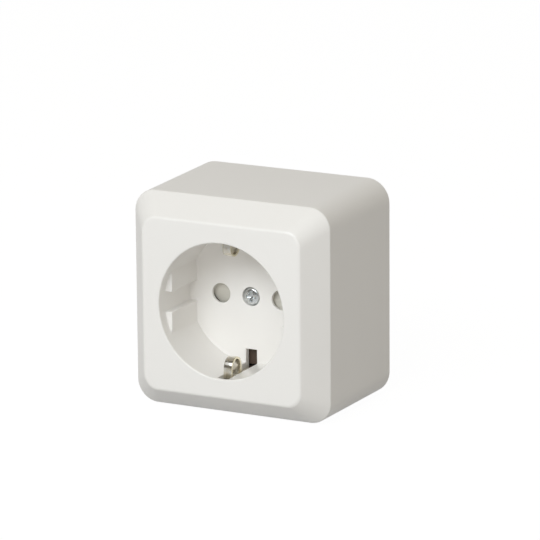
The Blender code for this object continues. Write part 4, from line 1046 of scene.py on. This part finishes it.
def make_floor(s):
    """A wide round floor under the socket, white to the camera and grey in the light that it gives back."""
    ring = circle(s.floor_radius, FLOOR_SEGMENTS)
    floor_z = CAD_BOX[0][2] / MM
    data = bpy.data.meshes.new("floor")
    data.from_pydata(np.column_stack((ring, np.full(len(ring), floor_z))) * MM, [], [list(range(len(ring)))])
    grey = (s.floor_grey,) * 3
    material, tree, shader, where = new_material("floor_white", grey, roughness=0.9)
    cloud = ramp(tree, noise(tree, where, scale=30, detail=3))
    set_inputs(tree, shader, {"Base Color": tint(tree, cloud, shade(grey, 0.99), shade(grey, 1.01))})
    surface = tree.nodes["Material Output"].inputs["Surface"]
    plain = shader.outputs["BSDF"]
    white_to_camera(
        tree, plain, surface, where, front=-0.3, back=0.0, brightness=1.08, seen=0.9, mirrored=0.5
    )
    material.cycles.emission_sampling = "NONE"
    data.materials.append(material)
    new_object("floor", data)


def make_room(s):
    """Even light from all round, which the camera sees as white."""
    world = bpy.data.worlds.new("room")
    world.use_nodes = True
    tree = world.node_tree
    room = tree.nodes["Background"]
    set_inputs(tree, room, {"Color": (*s.room_tint, 1), "Strength": s.room})
    sky = add_node(tree, "TexCoord", {}).outputs["Generated"]
    surface = tree.nodes["World Output"].inputs["Surface"]
    plain = room.outputs["Background"]
    white_to_camera(
        tree, plain, surface, sky, front=-0.2, back=0.2, brightness=1.0, seen=1.0, mirrored=0.6
    )
    bpy.context.scene.world = world


def make_camera(s):
    """The camera that took the photograph."""
    data = bpy.data.cameras.new("camera")
    data.sensor_fit = "HORIZONTAL"
    data.lens = s.focal_pixels / s.picture_width * data.sensor_width
    camera = new_object("camera", data)
    aim(camera, Vector(s.location), direction_of(s.azimuth, s.elevation), s.roll)
    bpy.context.scene.camera = camera


# Operators


class SOCKET_OT_cover(bpy.types.Operator):
    """Make the moulded cover"""

    bl_idname = "socket.cover"
    bl_label = "Cover"

    def execute(self, context):
        finishes = context.scene.socket_finishes
        plastic = moulded_plastic("cover_plastic", finishes.cover, roughness=0.3, grain=0.04)
        make_cover(in_mm(context.scene.socket_cover), plastic)
        return {"FINISHED"}


class SOCKET_OT_cover_screw(bpy.types.Operator):
    """Make the cover screw"""

    bl_idname = "socket.cover_screw"
    bl_label = "Cover screw"

    def execute(self, context):
        base = context.scene.socket_finishes.bright_zinc
        metal = plated_metal("bright_zinc", base, roughness=0.17, tarnish=shade(base, 0.85))
        make_cover_screw(in_mm(context.scene.socket_screw), metal)
        return {"FINISHED"}


class SOCKET_OT_earth_strap(bpy.types.Operator):
    """Make the earth strap with its two contact arches"""

    bl_idname = "socket.earth_strap"
    bl_label = "Earth strap"

    def execute(self, context):
        finishes = context.scene.socket_finishes
        brass = plated_metal(
            "plated_brass", finishes.brass, roughness=0.18, tarnish=finishes.tarnish,
            stretch=(6, 0.4, 0.4), cut=finishes.cut_brass,
        )
        make_earth_strap(in_mm(context.scene.socket_strap), brass)
        finish(brass, "left_contact", "right_contact", "cover_screw_bush")
        return {"FINISHED"}


class SOCKET_OT_inner_pieces(bpy.types.Operator):
    """Finish the base plate and the inner pieces, which keep their CAD shape"""

    bl_idname = "socket.inner_pieces"
    bl_label = "Finishes"

    def execute(self, context):
        finishes = context.scene.socket_finishes
        base = moulded_plastic("base_plastic", finishes.base, roughness=0.45, grain=0.2)
        finish(base, "base_plate")
        carrier = moulded_plastic("carrier_plastic", finishes.carrier, roughness=0.5, grain=0.25, spread=0.1)
        finish(carrier, "contact_carrier", "shutter_housing")
        shutter = moulded_plastic("shutter_plastic", finishes.shutter, roughness=0.42, grain=0.15)
        finish(shutter, "shutter")
        zinc = plated_metal("zinc_plate", finishes.zinc, roughness=0.3, tarnish=shade(finishes.zinc, 0.75))
        for side in ("left", "right"):
            finish(zinc, f"{side}_terminal_cage", f"{side}_terminal_screw")
        finish(zinc, "earth_clamp_plate", "earth_terminal_screw")
        finish(zinc, "lower_carrier_screw", "upper_carrier_screw")
        grey = finishes.spring_steel
        stains = shade(grey, 0.7)
        steel = plated_metal("spring_steel", grey, roughness=0.32, tarnish=stains, stretch=(1, 4, 1))
        finish(steel, "shutter_spring", "left_contact_spring", "right_contact_spring")
        return {"FINISHED"}


class SOCKET_OT_stage(bpy.types.Operator):
    """Set the floor, the soft light, the room light and the camera"""

    bl_idname = "socket.stage"
    bl_label = "Stage"

    def execute(self, context):
        s = in_mm(context.scene.socket_stage)
        make_floor(s)
        lamps = (
            ("upper_light", s.upper_power, s.upper_tint, s.upper_width, s.upper_azimuth, s.upper_elevation),
            ("front_light", s.front_power, s.front_tint, s.front_width, s.front_azimuth, s.front_elevation),
            ("side_light", s.side_power, s.upper_tint, s.front_width, s.side_azimuth, s.upper_elevation),
        )
        for name, *values in lamps:
            light = soft_light(name, s, *values)
            light.visible_glossy = name != "front_light"
        make_room(s)
        make_camera(s)
        context.scene.view_settings.view_transform = "Standard"
        return {"FINISHED"}


PARTS = (
    ("socket_cover", SocketCoverSettings, SOCKET_OT_cover),
    ("socket_screw", SocketScrewSettings, SOCKET_OT_cover_screw),
    ("socket_strap", SocketStrapSettings, SOCKET_OT_earth_strap),
    ("socket_finishes", SocketFinishSettings, SOCKET_OT_inner_pieces),
    ("socket_stage", SocketStageSettings, SOCKET_OT_stage),
)


class SOCKET_PT_panel(bpy.types.Panel):
    """Sizes, colours and steps of the socket"""

    bl_idname = "SOCKET_PT_panel"
    bl_label = "Surface mounted socket"
    bl_space_type = "VIEW_3D"
    bl_region_type = "UI"
    bl_category = "Socket"

    def draw(self, context):
        for name, _, operator in PARTS:
            box = self.layout.box()
            box.label(text=operator.bl_label)
            settings = getattr(context.scene, name)
            for item in own_properties(settings):
                box.prop(settings, item.identifier)
            box.operator(operator.bl_idname)


def register():
    """Adds the classes, and each group of settings to the scene."""
    for name, group, operator in PARTS:
        bpy.utils.register_class(group)
        bpy.utils.register_class(operator)
        setattr(bpy.types.Scene, name, PointerProperty(type=group))
    bpy.utils.register_class(SOCKET_PT_panel)


def unregister():
    """Takes them out again."""
    bpy.utils.unregister_class(SOCKET_PT_panel)
    for name, group, operator in reversed(PARTS):
        delattr(bpy.types.Scene, name)
        bpy.utils.unregister_class(operator)
        bpy.utils.unregister_class(group)


def main():
    """Makes the whole socket."""
    register()
    bpy.ops.socket.stage()
    bpy.ops.socket.cover()
    bpy.ops.socket.cover_screw()
    bpy.ops.socket.earth_strap()
    bpy.ops.socket.inner_pieces()


if __name__ == "__main__":
    main()
